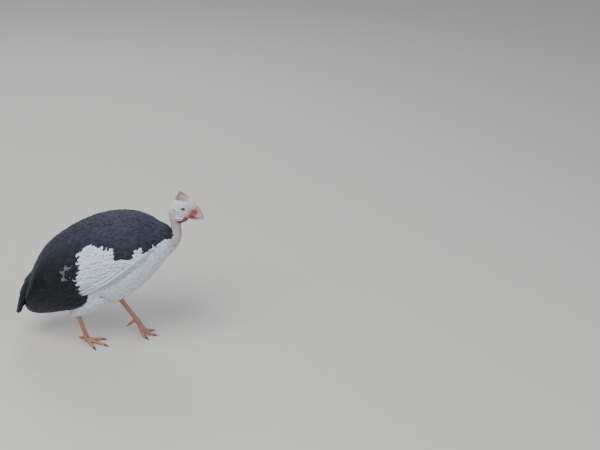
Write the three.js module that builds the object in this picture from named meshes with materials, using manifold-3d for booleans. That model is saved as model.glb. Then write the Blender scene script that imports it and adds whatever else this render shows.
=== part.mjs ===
// A pied guinea fowl in a walking step, life size, in millimetres.
// +X points forward, +Y to the bird's left and +Z up. The feet stand on the plane z = 0, and the
// origin is on that plane under the middle of the model. While it is built, x = 0 is the ball of the
// planted right foot.
import * as THREE from "three";
import { mergeVertices } from "three/addons/utils/BufferGeometryUtils.js";
import Module from "manifold-3d";

const wasm = await Module();
wasm.setup();

// Driving dimensions
const GAP = 0.3; // clearance between pieces that touch
const VANE_THICKNESS = 0.9;
const EYE_RADIUS = 5.6;
const MIDDLE_TOE = 44;
const CLAW_LENGTH = 10;
const TAIL_FEATHERS = 12;

// The body from the rump to the top of the neck, in the plane of symmetry. Each station has a point
// on the back, a point on the belly or throat, and half the width there.
const BODY_STATIONS = [
  { back: [-136, 87], belly: [-122, 61], half: 12 },
  { back: [-130, 107], belly: [-105, 63], half: 32 },
  { back: [-120, 143], belly: [-78, 67], half: 50 },
  { back: [-106, 178], belly: [-52, 74], half: 63 },
  { back: [-86, 213], belly: [-23, 81], half: 73 },
  { back: [-57, 241], belly: [8, 88], half: 76.5 },
  { back: [-17, 269], belly: [42, 99], half: 79 },
  { back: [34, 291], belly: [76, 110], half: 80 },
  { back: [85, 298], belly: [104, 131], half: 76.5 },
  { back: [123, 291], belly: [130, 156], half: 67 },
  { back: [148, 279], belly: [152, 184], half: 54.5 },
  { back: [163, 274], belly: [168, 206], half: 40 },
  { back: [171, 269], belly: [181, 221], half: 27 },
  { back: [174, 267], belly: [191, 236], half: 18 },
  { back: [175, 274], belly: [197, 254], half: 12.8 },
  { back: [174, 285], belly: [196, 275], half: 11.6 },
  { back: [172, 297], belly: [195, 290], half: 11.6 },
  { back: [171, 308], belly: [194, 303], half: 11.8 },
];
const NECK_STATION = 12.6; // where the torso ends and the neck begins
const NECK_TOP = 17;

// The head's own frame: +X along the bill and +Z towards the crown, pitched down from the body's
const HEAD_CENTRE = [195, 0, 313.5];
const HEAD_PITCH = 22;
const HEAD_STATIONS = [
  { x: -24, top: 2, bottom: -11, half: 6 },
  { x: -21.5, top: 11.5, bottom: -17.5, half: 11 },
  { x: -16.5, top: 18.5, bottom: -22, half: 14.2 },
  { x: -8.5, top: 24, bottom: -23.5, half: 15.8 },
  { x: 1, top: 27, bottom: -23, half: 15.8 },
  { x: 10, top: 28.5, bottom: -20, half: 14.6 },
  { x: 18, top: 26.5, bottom: -14.5, half: 11.8 },
  { x: 24.5, top: 22.5, bottom: -8, half: 9 },
];
const CASQUE_STATIONS = [
  { z: 14, x: 2, long: 21, wide: 8.4 },
  { z: 22, x: 2, long: 21, wide: 7.6 },
  { z: 27, x: 0.8, long: 19.4, wide: 6.6 },
  { z: 31, x: -1.2, long: 16.8, wide: 5.2 },
  { z: 33.6, x: -5, long: 12.6, wide: 3.6 },
  { z: 34.9, x: -11.4, long: 6.2, wide: 2.6 },
  { z: 37, x: -17, long: 1.2, wide: 1 },
];
const UPPER_BILL = [
  { x: 19, top: 25, bottom: 0, half: 8.4 },
  { x: 26, top: 22.3, bottom: -1, half: 7.6 },
  { x: 34, top: 18, bottom: -1.3, half: 6 },
  { x: 41, top: 13.2, bottom: -1.4, half: 4.2 },
  { x: 46, top: 8.6, bottom: -1.6, half: 2.6 },
  { x: 49.3, top: 3.2, bottom: -2, half: 1 },
];
const LOWER_BILL = [
  { x: 16, top: -1, bottom: -12, half: 6.6 },
  { x: 24, top: -1.9, bottom: -10.2, half: 6 },
  { x: 32, top: -2.2, bottom: -8.2, half: 4.6 },
  { x: 38, top: -2.3, bottom: -6.2, half: 3.1 },
  { x: 42.5, top: -2.6, bottom: -4, half: 1.5 },
];
const EYE = [2.8, 11.2, 9.8];
const EAR = [-10.5, 15.6, -1];
const NOSTRIL = [30, 6.3, 11];
const WATTLE_ROOT = [16.5, 9.6, -8];
const WATTLE_TIP = [7.5, 14, -23];

// Legs: the planted right leg and the left leg, whose toes have just come down
const LEGS = {
  right: {
    knee: [38, -42, 140],
    hock: [-19, -27, 79],
    ankle: [-4, -13, 9],
    side: -1,
    yaw: -20,
    planted: true,
  },
  left: {
    knee: [82, 42, 150],
    hock: [55, 36, 88],
    ankle: [99, 28, 31],
    side: 1,
    yaw: -8,
    planted: false,
  },
};

// The folded wing lies on the body between two edges, given as angles round the body at shares of
// the wing's length
const WING_STATIONS = [10.3, 1.1];
const WING_UPPER_EDGE = [56, 38, 31, 28, 28, 30, 35, 44, 58];
const WING_LOWER_EDGE = [66, 88, 99, 105, 107, 105, 99, 86, 66];
const WING_DEPTH = 4.6;

// The tail in side view, from under the back feathers to the tips, and half its spread at the tips
const TAIL_ROOT = [-98, 170];
const TAIL_BEND = [-132, 122];
const TAIL_TIP = [-150, 62];
const TAIL_HALF_SPREAD = 36;

const PLUMAGE = new THREE.MeshStandardMaterial({ color: 0x1c2030, roughness: 0.6, metalness: 0 });
const DOWN_WHITE = new THREE.MeshStandardMaterial({ color: 0xdfe6ee, roughness: 0.8, metalness: 0 });
const FACE_SKIN = new THREE.MeshStandardMaterial({ color: 0xdcd8d8, roughness: 0.7, metalness: 0 });
const CASQUE_HORN = new THREE.MeshStandardMaterial({ color: 0xa98d84, roughness: 0.6, metalness: 0 });
const BILL_HORN = new THREE.MeshStandardMaterial({ color: 0xc49a92, roughness: 0.45, metalness: 0 });
const WATTLE_RED = new THREE.MeshStandardMaterial({ color: 0x9c2430, roughness: 0.55, metalness: 0 });
const EYE_GLOSS = new THREE.MeshStandardMaterial({ color: 0x14100f, roughness: 0.08, metalness: 0 });
const LEG_SKIN = new THREE.MeshStandardMaterial({ color: 0xb8826a, roughness: 0.6, metalness: 0 });
const CLAW_HORN = new THREE.MeshStandardMaterial({ color: 0x5a4a42, roughness: 0.4, metalness: 0 });

// Solids from three.js geometry
const vector = (xyz) => new THREE.Vector3(...xyz);
const radians = THREE.MathUtils.degToRad;
const mix = THREE.MathUtils.lerp;

// A seeded random draw from -1 to 1
let seed = 7;
function scatter() {
  seed = (seed * 16807) % 2147483647;
  return (seed / 2147483647) * 2 - 1;
}

// A closed geometry as a solid
function solid(geometry, place) {
  const bare = geometry.clone();
  bare.deleteAttribute("normal");
  bare.deleteAttribute("uv");
  if (place) bare.applyMatrix4(place);
  const merged = mergeVertices(bare, 1e-4);
  return new wasm.Manifold(
    new wasm.Mesh({
      numProp: 3,
      vertProperties: merged.attributes.position.array,
      triVerts: new Uint32Array(merged.index.array),
    }),
  );
}

// The largest closed surface of a solid, which fills sealed hollows and drops loose scraps
function largest(made) {
  return made.decompose().reduce((a, b) => (b.volume() > a.volume() ? b : a));
}

// A solid as a named mesh
function node(name, made, material) {
  const { vertProperties, triVerts } = largest(made).getMesh();
  const geometry = new THREE.BufferGeometry();
  geometry.setAttribute("position", new THREE.BufferAttribute(vertProperties, 3));
  geometry.setIndex(new THREE.BufferAttribute(triVerts, 1));
  geometry.computeVertexNormals();
  const mesh = new THREE.Mesh(geometry, material);
  mesh.name = name;
  return mesh;
}

// A geometry from points and faces
function polyhedron(points, faces) {
  const geometry = new THREE.BufferGeometry().setFromPoints(points);
  geometry.setIndex(faces);
  return geometry;
}

// A solid skinned over rings of points, each going anticlockwise seen from its far side, with flat ends
function loft(rings) {
  const sides = rings[0].length;
  const points = rings.flat();
  const faces = [];
  for (let i = 0; i + 1 < rings.length; i++)
    for (let j = 0; j < sides; j++) {
      const a = i * sides + j;
      const b = i * sides + ((j + 1) % sides);
      faces.push(a, b, b + sides, a, b + sides, a + sides);
    }
  for (const [ring, first] of [
    [rings[0], true],
    [rings.at(-1), false],
  ]) {
    const centre = ring.reduce((sum, p) => sum.add(p), new THREE.Vector3()).divideScalar(sides);
    const hub = points.push(centre) - 1;
    const base = first ? 0 : (rings.length - 1) * sides;
    for (let j = 0; j < sides; j++) {
      const a = base + j;
      const b = base + ((j + 1) % sides);
      faces.push(...(first ? [hub, b, a] : [hub, a, b]));
    }
  }
  const made = solid(polyhedron(points, faces));
  return made.volume() < 0 ? loft([...rings].reverse()) : made;
}

// A closed slab between an upper and a lower grid of points, split into triangles alike on both faces
function slab(rows, columns, pointAt) {
  const points = [];
  for (const upper of [true, false])
    for (let i = 0; i < rows; i++)
      for (let j = 0; j < columns; j++) points.push(pointAt(i, j, upper));
  const top = (i, j) => i * columns + j;
  const under = (i, j) => rows * columns + top(i, j);
  const faces = [];
  for (let i = 0; i + 1 < rows; i++)
    for (let j = 0; j + 1 < columns; j++) {
      faces.push(top(i, j), top(i, j + 1), top(i + 1, j + 1), top(i, j), top(i + 1, j + 1), top(i + 1, j));
      faces.push(under(i, j), under(i + 1, j + 1), under(i, j + 1));
      faces.push(under(i, j), under(i + 1, j), under(i + 1, j + 1));
    }
  const rim = [];
  for (let j = 0; j + 1 < columns; j++) rim.push([0, j, 0, j + 1]);
  for (let i = 0; i + 1 < rows; i++) rim.push([i, columns - 1, i + 1, columns - 1]);
  for (let j = columns - 1; j > 0; j--) rim.push([rows - 1, j, rows - 1, j - 1]);
  for (let i = rows - 1; i > 0; i--) rim.push([i, 0, i - 1, 0]);
  for (const [i, j, k, l] of rim)
    faces.push(top(i, j), under(i, j), under(k, l), top(i, j), under(k, l), top(k, l));
  const geometry = polyhedron(points, faces);
  const made = solid(geometry);
  if (made.volume() > 0) return made;
  for (let f = 0; f < faces.length; f += 3) [faces[f + 1], faces[f + 2]] = [faces[f + 2], faces[f + 1]];
  return solid(polyhedron(points, faces));
}

// An ellipsoid
function ball([x, y, z], [a, b, c], sides = 12) {
  const place = new THREE.Matrix4().makeTranslation(x, y, z).scale(new THREE.Vector3(a, b, c));
  return solid(new THREE.SphereGeometry(1, sides, Math.round(sides * 0.7)), place);
}

// A round tube along a line of points, with a radius at each and each section flattened by `flat`
function tube(line, radii, sides = 8, flat = 1) {
  const points = line.map((p) => vector(p));
  const rings = points.map((p, i) => {
    const ahead = points[Math.min(i + 1, points.length - 1)];
    const along = ahead.clone().sub(points[Math.max(i - 1, 0)]).normalize();
    const level = Math.abs(along.z) > 0.95 ? new THREE.Vector3(1, 0, 0) : new THREE.Vector3(0, 0, 1);
    const across = new THREE.Vector3().crossVectors(level, along).normalize();
    const up = new THREE.Vector3().crossVectors(along, across);
    return Array.from({ length: sides }, (_, j) => {
      const turn = (2 * Math.PI * (j + 0.5)) / sides;
      return p
        .clone()
        .addScaledVector(across, radii[i] * Math.cos(turn))
        .addScaledVector(up, radii[i] * flat * Math.sin(turn));
    });
  });
  return loft(rings);
}

const union = (solids) => wasm.Manifold.union(solids);

// Body
const backLine = new THREE.CatmullRomCurve3(
  BODY_STATIONS.map((s) => new THREE.Vector3(s.back[0], s.half, s.back[1])),
);
const bellyLine = new THREE.CatmullRomCurve3(
  BODY_STATIONS.map((s) => new THREE.Vector3(s.belly[0], s.half, s.belly[1])),
);
const SECTION_ROUNDNESS = 0.92;
const rounded = (x) => Math.sign(x) * Math.abs(x) ** SECTION_ROUNDNESS;

// A point of the body's surface: station along it, angle round it from the back towards the left
// side, and lift off it
function bodyPoint(station, angle, lift = 0) {
  const share = station / (BODY_STATIONS.length - 1);
  const back = backLine.getPoint(share);
  const belly = bellyLine.getPoint(share);
  const half = back.y;
  back.y = belly.y = 0;
  const middle = back.clone().add(belly).multiplyScalar(0.5);
  const up = back.clone().sub(belly).multiplyScalar(0.5);
  const point = middle.clone().addScaledVector(up, rounded(Math.cos(angle)));
  point.y = half * rounded(Math.sin(angle));
  return lift ? point.addScaledVector(bodyNormal(station, angle, point, middle), lift) : point;
}

function bodyNormal(station, angle, point, middle) {
  const step = 0.02;
  const along = bodyPoint(station + step, angle).sub(bodyPoint(station - step, angle));
  const round = bodyPoint(station, angle + step).sub(bodyPoint(station, angle - step));
  const normal = along.cross(round).normalize();
  return normal.dot(point.clone().sub(middle)) < 0 ? normal.negate() : normal;
}

const BODY_SIDES = 32;
function bodyLoft(from, to, count, lift) {
  const rings = [];
  for (let i = 0; i <= count; i++) {
    const station = mix(from, to, i / count);
    rings.push(
      Array.from({ length: BODY_SIDES }, (_, j) => {
        const angle = (2 * Math.PI * (j + 0.5)) / BODY_SIDES;
        return bodyPoint(station, angle, lift);
      }),
    );
  }
  return loft(rings);
}

const FIRST_STATION = 0.05;
const torso = bodyLoft(FIRST_STATION, NECK_STATION, 25, 0);
const torsoGrown = bodyLoft(FIRST_STATION - 0.02, NECK_STATION + 0.02, 25, GAP);

// Head, in its own frame
const headFrame = new THREE.Matrix4()
  .makeTranslation(...HEAD_CENTRE)
  .multiply(new THREE.Matrix4().makeRotationY(radians(HEAD_PITCH)));

// A solid through upright oval sections, each with its place along x, its top, its bottom and half its width
function ovalLoft(stations, sides, count, grow = 0) {
  const tops = new THREE.CatmullRomCurve3(stations.map((s) => new THREE.Vector3(s.x, s.half, s.top)));
  const bottoms = new THREE.CatmullRomCurve3(stations.map((s) => new THREE.Vector3(s.x, s.half, s.bottom)));
  const rings = Array.from({ length: count + 1 }, (_, i) => {
    const top = tops.getPoint(i / count);
    const bottom = bottoms.getPoint(i / count);
    const ends = i === 0 ? -grow : i === count ? grow : 0;
    return Array.from({ length: sides }, (_, j) => {
      const turn = (2 * Math.PI * (j + 0.5)) / sides;
      const height = (top.z - bottom.z) / 2 + grow;
      return new THREE.Vector3(
        top.x + ends,
        (top.y + grow) * Math.sin(turn),
        (top.z + bottom.z) / 2 + height * Math.cos(turn),
      );
    });
  });
  return loft(rings);
}

const mirrored = ([x, y, z], side) => [x, side * y, z];
const SIDES = { right: -1, left: 1 };
const eachSide = (make) => Object.entries(SIDES).map(([name, side]) => make(name, side));

// A ring of flesh round the eye, level with the cheek
function lid(side, grow) {
  const place = new THREE.Matrix4()
    .makeTranslation(...mirrored([EYE[0], EYE[1] + 3.6, EYE[2]], side))
    .multiply(new THREE.Matrix4().makeRotationX(radians(90)));
  return solid(new THREE.TorusGeometry(EYE_RADIUS + 0.2, 1.5 + grow, 5, 12), place);
}

function headWith(grow) {
  const lump = (side, [x, y, z], radii, sides) =>
    ball([x, side * y, z], radii.map((radius) => radius + grow), sides);
  const halves = eachSide((_, side) =>
    union([
      lid(side, grow),
      lump(side, [5, 12.5, 17], [8, 3.4, 2.6], 8),
      lump(side, [2, 10.5, -12], [11, 6.2, 9], 10),
      lump(side, EAR, [3.6, 1.6, 3.2], 8),
    ]),
  );
  return union([ovalLoft(HEAD_STATIONS, 18, 11, grow), ...halves]);
}
const earCup = (side) => ball(mirrored([EAR[0], EAR[1] + 1.2, EAR[2]], side), [1.9, 1.9, 1.6], 8);
const head = headWith(0);
const headGrown = headWith(GAP);

const eyeball = (side, grow = 0) => {
  const radius = EYE_RADIUS + grow;
  return ball(mirrored(EYE, side), [radius, radius, radius], 16);
};
const upperBill = ovalLoft(UPPER_BILL, 14, 8);
const lowerBill = ovalLoft(LOWER_BILL, 12, 6);
const upperBillGrown = ovalLoft(UPPER_BILL, 14, 8, GAP);
const lowerBillGrown = ovalLoft(LOWER_BILL, 12, 6, GAP);
const nostril = (side) => ball(mirrored(NOSTRIL, side), [2.6, 1.6, 1.2], 8);

const casqueRings = (grow) =>
  CASQUE_STATIONS.map((s) =>
    Array.from({ length: 14 }, (_, j) => {
      const turn = (2 * Math.PI * j) / 14;
      return new THREE.Vector3(s.x + (s.long + grow) * Math.cos(turn), (s.wide + grow) * Math.sin(turn), s.z);
    }),
  );
const casque = loft(casqueRings(0));

// A wattle: a thin cupped lobe that hangs from the corner of the mouth
function wattle(side, grow = 0) {
  const root = vector(mirrored(WATTLE_ROOT, side));
  const tip = vector(mirrored(WATTLE_TIP, side));
  const widths = [4.2, 5.8, 7.2, 8, 7.9, 6.6, 4.4, 1.6];
  const rings = widths.map((width, i) => {
    const share = i / (widths.length - 1);
    const centre = root.clone().lerp(tip, share);
    centre.y += side * 2.2 * Math.sin(Math.PI * share);
    const bulb = 0.35 * Math.sin(Math.PI * share) ** 2;
    const thickness = mix(2.1, 1.2, share) + bulb + grow;
    return Array.from({ length: 12 }, (_, j) => {
      const turn = (2 * Math.PI * j) / 12;
      const reach = (width + grow) * Math.cos(turn);
      const cup = side * (0.035 * reach * reach + 0.5 * Math.sin(0.9 * reach + 2.5 * share));
      return new THREE.Vector3(
        centre.x + reach * 0.94,
        centre.y + thickness * Math.sin(turn) - cup,
        centre.z + reach * 0.34,
      );
    });
  });
  return loft(rings);
}

const headNodes = new THREE.Group();
headNodes.position.set(...HEAD_CENTRE);
headNodes.rotation.y = radians(HEAD_PITCH);

const eyeHoles = eachSide((_, side) => eyeball(side, GAP));
const earCups = eachSide((_, side) => earCup(side));
const wattlesGrown = eachSide((_, side) => wattle(side, GAP));
const headCut = union([...eyeHoles, ...earCups, upperBillGrown, lowerBillGrown]);
const headSolid = largest(head.subtract(headCut));
headNodes.add(
  node("head", headSolid, FACE_SKIN),
  node("casque", casque.subtract(headGrown), CASQUE_HORN),
  node("bill_upper", upperBill.subtract(union(eachSide((_, side) => nostril(side)))), BILL_HORN),
  node("bill_lower", lowerBill, BILL_HORN),
  ...eachSide((name, side) => node(`eye_${name}`, eyeball(side), EYE_GLOSS)),
  ...eachSide((name, side) => {
    const besides = union([headGrown, lowerBillGrown, upperBillGrown]);
    return node(`wattle_${name}`, wattle(side).subtract(besides), WATTLE_RED);
  }),
);

// Neck
const headInBody = headGrown.transform(headFrame.toArray());
const neck = bodyLoft(NECK_STATION + 0.02, NECK_TOP, 9, 0).subtract(headInBody);

// Legs
// A feathered thigh from inside the body to the hock
function thigh({ knee, hock }) {
  const shares = [0, 0.3, 0.55, 0.8, 0.95, 1.06];
  const line = shares.map((share) => vector(knee).lerp(vector(hock), share).toArray());
  return tube(line, [30, 28, 24, 18, 13.5, 9], 16, 1.1);
}

const shankLine = ({ hock, ankle }, shares) =>
  shares.map((share) => vector(hock).lerp(vector(ankle), share).toArray());

function shank(leg, grow = 0) {
  const radii = [5.4, 6.4, 6.6, 5.2, 4.3, 4.0, 4.5, 5.0].map((radius) => radius + grow);
  const last = 1 + (grow ? 0.006 : 0);
  return tube(shankLine(leg, [-0.05, 0, 0.06, 0.14, 0.3, 0.6, 0.86, last]), radii, 10);
}

// A toe along a curve from the ball of the foot, with a pad under each joint
function toe(line) {
  const count = 7;
  const points = new THREE.CatmullRomCurve3(line.map((p) => vector(p))).getPoints(count);
  const radii = points.map((_, i) => {
    const pads = 1 + 0.08 * Math.cos((i / count) * 6 * Math.PI);
    return mix(4.2, 2.9, i / count) * pads;
  });
  return tube(points.map((p) => p.toArray()), radii, 8);
}

// A claw that goes on from the end of a toe and turns down
function claw(line) {
  const [before, end] = new THREE.CatmullRomCurve3(line.map((p) => vector(p))).getPoints(7).slice(-2);
  const direction = end.clone().sub(before).normalize();
  const points = [0.04, 0.35, 0.7, 1].map((share) => {
    const point = end.clone().addScaledVector(direction, share * CLAW_LENGTH);
    point.z = Math.max(point.z - 1.8 * share * share, 0.9);
    return point.toArray();
  });
  return tube(points, [2.3, 1.9, 1.3, 0.5], 7);
}

const TOES = {
  inner: { turn: 34, length: 0.76 },
  middle: { turn: 0, length: 1 },
  outer: { turn: -34, length: 0.82 },
};
const PAD_HEIGHT = 2.3; // of a toe's centre line above the ground
const HIND_TOE = 16;

// The toes of a foot as lines of points: laid flat, or reaching down to the ground from a raised ankle
function toeLines({ ankle: [x, y, height], side, yaw, planted }) {
  const from = (degrees) => (distance, z) => [
    x + distance * Math.cos(radians(degrees)),
    y + distance * Math.sin(radians(degrees)),
    z,
  ];
  const lines = {};
  for (const [name, { turn, length }] of Object.entries(TOES)) {
    const along = from(yaw - side * turn);
    const reach = MIDDLE_TOE * length;
    lines[name] = planted
      ? [along(0, height - 2), along(reach * 0.3, 4.2), along(reach * 0.65, 3), along(reach, PAD_HEIGHT)]
      : [
          along(2, height - 3),
          along(reach * 0.22, height * 0.6),
          along(reach * 0.42, 8),
          along(reach * 0.6, 3.4),
          along(reach * 0.8, PAD_HEIGHT),
        ];
  }
  const back = from(yaw + 180 + side * 16);
  const drop = planted ? [1, 0.5, -4, -6.7] : [2, 2.5, -1, -5];
  lines.hind = drop.map((z, i) => back((i * HIND_TOE) / 3, height + z));
  return lines;
}

const groundCut = solid(new THREE.BoxGeometry(900, 900, 60), new THREE.Matrix4().makeTranslation(0, 0, -30));

const legNodes = [];
for (const [name, leg] of Object.entries(LEGS)) {
  const lines = toeLines(leg);
  const {
    ankle: [x, y, height],
    planted,
  } = leg;
  const heel = ball([x, y, planted ? height - 3.4 : height - 1.5], [6, 6, 6.2], 10);
  const foot = union([heel, ...Object.values(lines).map(toe)]).subtract(union([groundCut, shank(leg, 0.4)]));
  legNodes.push(
    node(`thigh_${name}`, thigh(leg).subtract(union([torsoGrown, shank(leg, 0.4)])), DOWN_WHITE),
    node(`shank_${name}`, shank(leg).subtract(torsoGrown), LEG_SKIN),
    node(`foot_${name}`, foot, LEG_SKIN),
  );
  for (const [toeName, line] of Object.entries(lines))
    legNodes.push(node(`claw_${toeName}_${name}`, claw(line).subtract(groundCut), CLAW_HORN));
}

// Wings
const along = (values, share) => {
  const place = Math.min(share, 0.9999) * (values.length - 1);
  const first = Math.floor(place);
  return mix(values[first], values[first + 1], place - first);
};

// A point of a wing: share of its length, share of its width from the upper edge, and lift off the body
function wingPoint(side, long, wide, lift) {
  const station = mix(WING_STATIONS[0], WING_STATIONS[1], long);
  const angle = mix(along(WING_UPPER_EDGE, long), along(WING_LOWER_EDGE, long), wide);
  return bodyPoint(station, side * radians(angle), lift);
}

// A feather vane that follows a surface. It narrows to a rounded tip, its root is sunk and its tip
// stands clear, and `tilt` lifts one edge so that it lies over its neighbour like a shingle.
const VANE_WIDTHS = [0.5, 0.86, 1, 0.98, 0.72, 0.2];
const VANE_SHARES = [0, 0.25, 0.5, 0.75, 0.93, 1];

function vane(surface, { root, tip, half, lifts, tilt, rows }) {
  const line = Array.from({ length: rows }, (_, i) => {
    const share = along(VANE_SHARES, i / (rows - 1));
    const place = [mix(root[0], tip[0], share), mix(root[1], tip[1], share)];
    return { share, place, width: half * along(VANE_WIDTHS, i / (rows - 1)) };
  });
  const heading = surface(...line[rows - 1].place, 0).sub(surface(...line[rows - 2].place, 0));
  return slab(rows, 3, (i, j, upper) => {
    const { share, place, width } = line[i];
    const [long, wide] = place;
    const foot = surface(long, wide, 0);
    const normal = surface(long, wide, 1).sub(foot);
    const step = 0.02;
    const perLong = surface(long + step, wide, 0).sub(foot).divideScalar(step);
    const perWide = surface(long, wide + step, 0).sub(foot).divideScalar(step);
    const ahead = i + 1 < rows ? surface(...line[i + 1].place, 0).sub(foot) : heading;
    const sideways = normal.clone().cross(ahead).normalize().multiplyScalar((j - 1) * width);
    // the step across the vane, turned into shares of the surface's length and width
    const cross = perLong.clone().cross(perWide).dot(normal);
    const addLong = sideways.clone().cross(perWide).dot(normal) / cross;
    const addWide = perLong.clone().cross(sideways).dot(normal) / cross;
    const slope = (j - 1) * tilt * (width / half);
    const crest = j === 1 ? 0.12 : 0;
    const lift = mix(lifts[0], lifts[1], share ** 0.7) + slope + crest;
    const thickness = VANE_THICKNESS * (share > 0.9 ? 0.7 : 1);
    return surface(long + addLong, wide + addWide, upper ? lift : lift - thickness);
  });
}

// A tier of vanes whose roots and tips run from the first pair of places to the last
function tier(surface, { count, roots, tips, half, lifts, tilt, rows }) {
  return Array.from({ length: count }, (_, i) => {
    const share = count > 1 ? i / (count - 1) : 0.5;
    const place = ([from, to]) => [mix(from[0], to[0], share), mix(from[1], to[1], share)];
    const root = place(roots);
    const tip = place(tips);
    tip[0] += scatter() * 0.006;
    const [first, last] = lifts;
    const width = half * (1 + 0.03 * scatter());
    return vane(surface, { root, tip, half: width, lifts: [first, last + 0.04 * scatter()], tilt, rows });
  });
}

// Tiers of a folded wing, as shares of its length and of its width from the upper edge
const WING_TIERS = [
  {
    count: 2,
    rows: 6,
    half: 9,
    lifts: [3.1, 3.0],
    tilt: -0.9,
    roots: [[0.52, 0.7], [0.57, 0.5]],
    tips: [[0.97, 0.74], [1.0, 0.44]],
  },
  {
    count: 8,
    rows: 7,
    half: 9.4,
    lifts: [3.6, 6.2],
    tilt: -1.35,
    roots: [[0.12, 0.86], [0.5, 0.1]],
    tips: [[0.58, 0.97], [0.97, 0.24]],
  },
  {
    count: 6,
    rows: 5,
    half: 9.8,
    lifts: [4.4, 8.5],
    tilt: -1.2,
    roots: [[0.09, 0.74], [0.42, 0.08]],
    tips: [[0.36, 0.92], [0.74, 0.2]],
  },
  {
    count: 5,
    rows: 5,
    half: 9.8,
    lifts: [4.8, 10.1],
    tilt: -1.2,
    roots: [[0.06, 0.62], [0.34, 0.06]],
    tips: [[0.24, 0.8], [0.56, 0.15]],
  },
  {
    count: 4,
    rows: 4,
    half: 9.8,
    lifts: [5, 11.4],
    tilt: -1.2,
    roots: [[0.05, 0.48], [0.24, 0.05]],
    tips: [[0.16, 0.66], [0.38, 0.12]],
  },
];

function wing(side) {
  const surface = (long, wide, lift) => wingPoint(side, long, wide, lift);
  const depth = (long, wide) => {
    const fullness = Math.sqrt(Math.sin(Math.PI * long) * Math.sin(Math.PI * wide));
    return 0.9 + WING_DEPTH * fullness;
  };
  const arm = slab(8, 6, (i, j, upper) => {
    const long = i / 7;
    const wide = j / 5;
    return surface(0.02 + 0.6 * long, 0.03 + 0.87 * wide, upper ? 1.5 + depth(long, wide) : 1.5);
  });
  return union([arm, ...WING_TIERS.flatMap((row) => tier(surface, { ...row, tilt: side * row.tilt }))]);
}

// Tail
const tailLine = new THREE.CatmullRomCurve3(
  [TAIL_ROOT, TAIL_BEND, TAIL_TIP].map(([x, z]) => new THREE.Vector3(x, 0, z)),
);
const TAIL_ARCH = 1.15; // half the angle that the spread tail bends through

// A point of the tail: share of its length, place across it from -1 to 1, and lift off its middle surface
function tailPoint(long, across, lift) {
  const end = Math.min(long, 1);
  const point = tailLine.getPoint(end);
  const out = tailLine.getTangent(end).cross(new THREE.Vector3(0, 1, 0)).normalize();
  if (out.x > 0) out.negate();
  const spread = mix(20, TAIL_HALF_SPREAD, long);
  const turn = across * TAIL_ARCH;
  point.y = (spread * Math.sin(turn)) / Math.sin(TAIL_ARCH);
  point.addScaledVector(out, spread * 0.5 * (Math.cos(turn) - 1));
  out.multiplyScalar(Math.cos(turn)).add(new THREE.Vector3(0, Math.sin(turn), 0));
  return point.addScaledVector(out, lift);
}

// Tiers of one half of the tail, from the middle feather outwards
const TAIL_TIERS = [
  {
    count: TAIL_FEATHERS / 2,
    rows: 5,
    half: 7,
    lifts: [1.2, 2.6],
    tilt: -1.2,
    roots: [[0.1, 0.1], [0.14, 0.8]],
    tips: [[0.99, 0.09], [0.88, 1]],
  },
  {
    count: 3,
    rows: 4,
    half: 9.5,
    lifts: [2.6, 6.2],
    tilt: -1,
    roots: [[0.02, 0.1], [0.06, 0.62]],
    tips: [[0.58, 0.14], [0.5, 0.84]],
  },
];

const rump = slab(5, 7, (i, j, upper) => {
  const edge = Math.sqrt(Math.max(1 - ((j - 3) / 3) ** 2, 0));
  const thickness = (upper ? 1.4 + 2.6 * edge : -1.4 - 1.2 * edge) * mix(1, 0.4, i / 4);
  return tailPoint(0.5 * (i / 4), ((j - 3) / 3) * 0.86, thickness);
});
const tail = union([
  rump,
  ...TAIL_TIERS.flatMap((row) =>
    eachSide((_, side) =>
      tier((long, across, lift) => tailPoint(long, side * across, lift), { ...row, tilt: side * row.tilt }),
    ).flat(),
  ),
]);

const root = new THREE.Group();
root.add(
  node("torso", torso, PLUMAGE),
  node("neck", neck, DOWN_WHITE),
  headNodes,
  ...eachSide((name, side) => node(`wing_${name}`, wing(side), PLUMAGE)),
  node("tail", tail.subtract(torsoGrown), PLUMAGE),
  ...legNodes,
);

const box = new THREE.Box3().setFromObject(root, true);
const middle = box.getCenter(new THREE.Vector3());
root.position.set(-middle.x, -middle.y, 0);

export default root;
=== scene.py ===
"""A pied guinea fowl in a walking step: one skin, a coat of mesh feathers, and the head, legs and claws."""

import math

import bmesh
import bpy
import numpy as np
from mathutils import Matrix, Vector
from mathutils.kdtree import KDTree


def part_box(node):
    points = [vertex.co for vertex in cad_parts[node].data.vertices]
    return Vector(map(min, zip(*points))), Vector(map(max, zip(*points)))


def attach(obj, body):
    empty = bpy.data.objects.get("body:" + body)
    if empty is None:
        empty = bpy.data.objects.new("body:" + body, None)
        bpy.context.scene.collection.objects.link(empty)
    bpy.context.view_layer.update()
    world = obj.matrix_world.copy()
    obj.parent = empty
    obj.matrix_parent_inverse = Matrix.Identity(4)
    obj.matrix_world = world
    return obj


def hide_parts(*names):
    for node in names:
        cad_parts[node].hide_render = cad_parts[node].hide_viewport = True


bl_info = {
    "name": "Guinea fowl",
    "version": (1, 0, 0),
    "blender": (4, 5, 0),
    "location": "View3D > Sidebar > Guinea fowl",
    "description": "Dresses the solids of a life-size guinea fowl in skin and feathers",
    "category": "Object",
}

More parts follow.
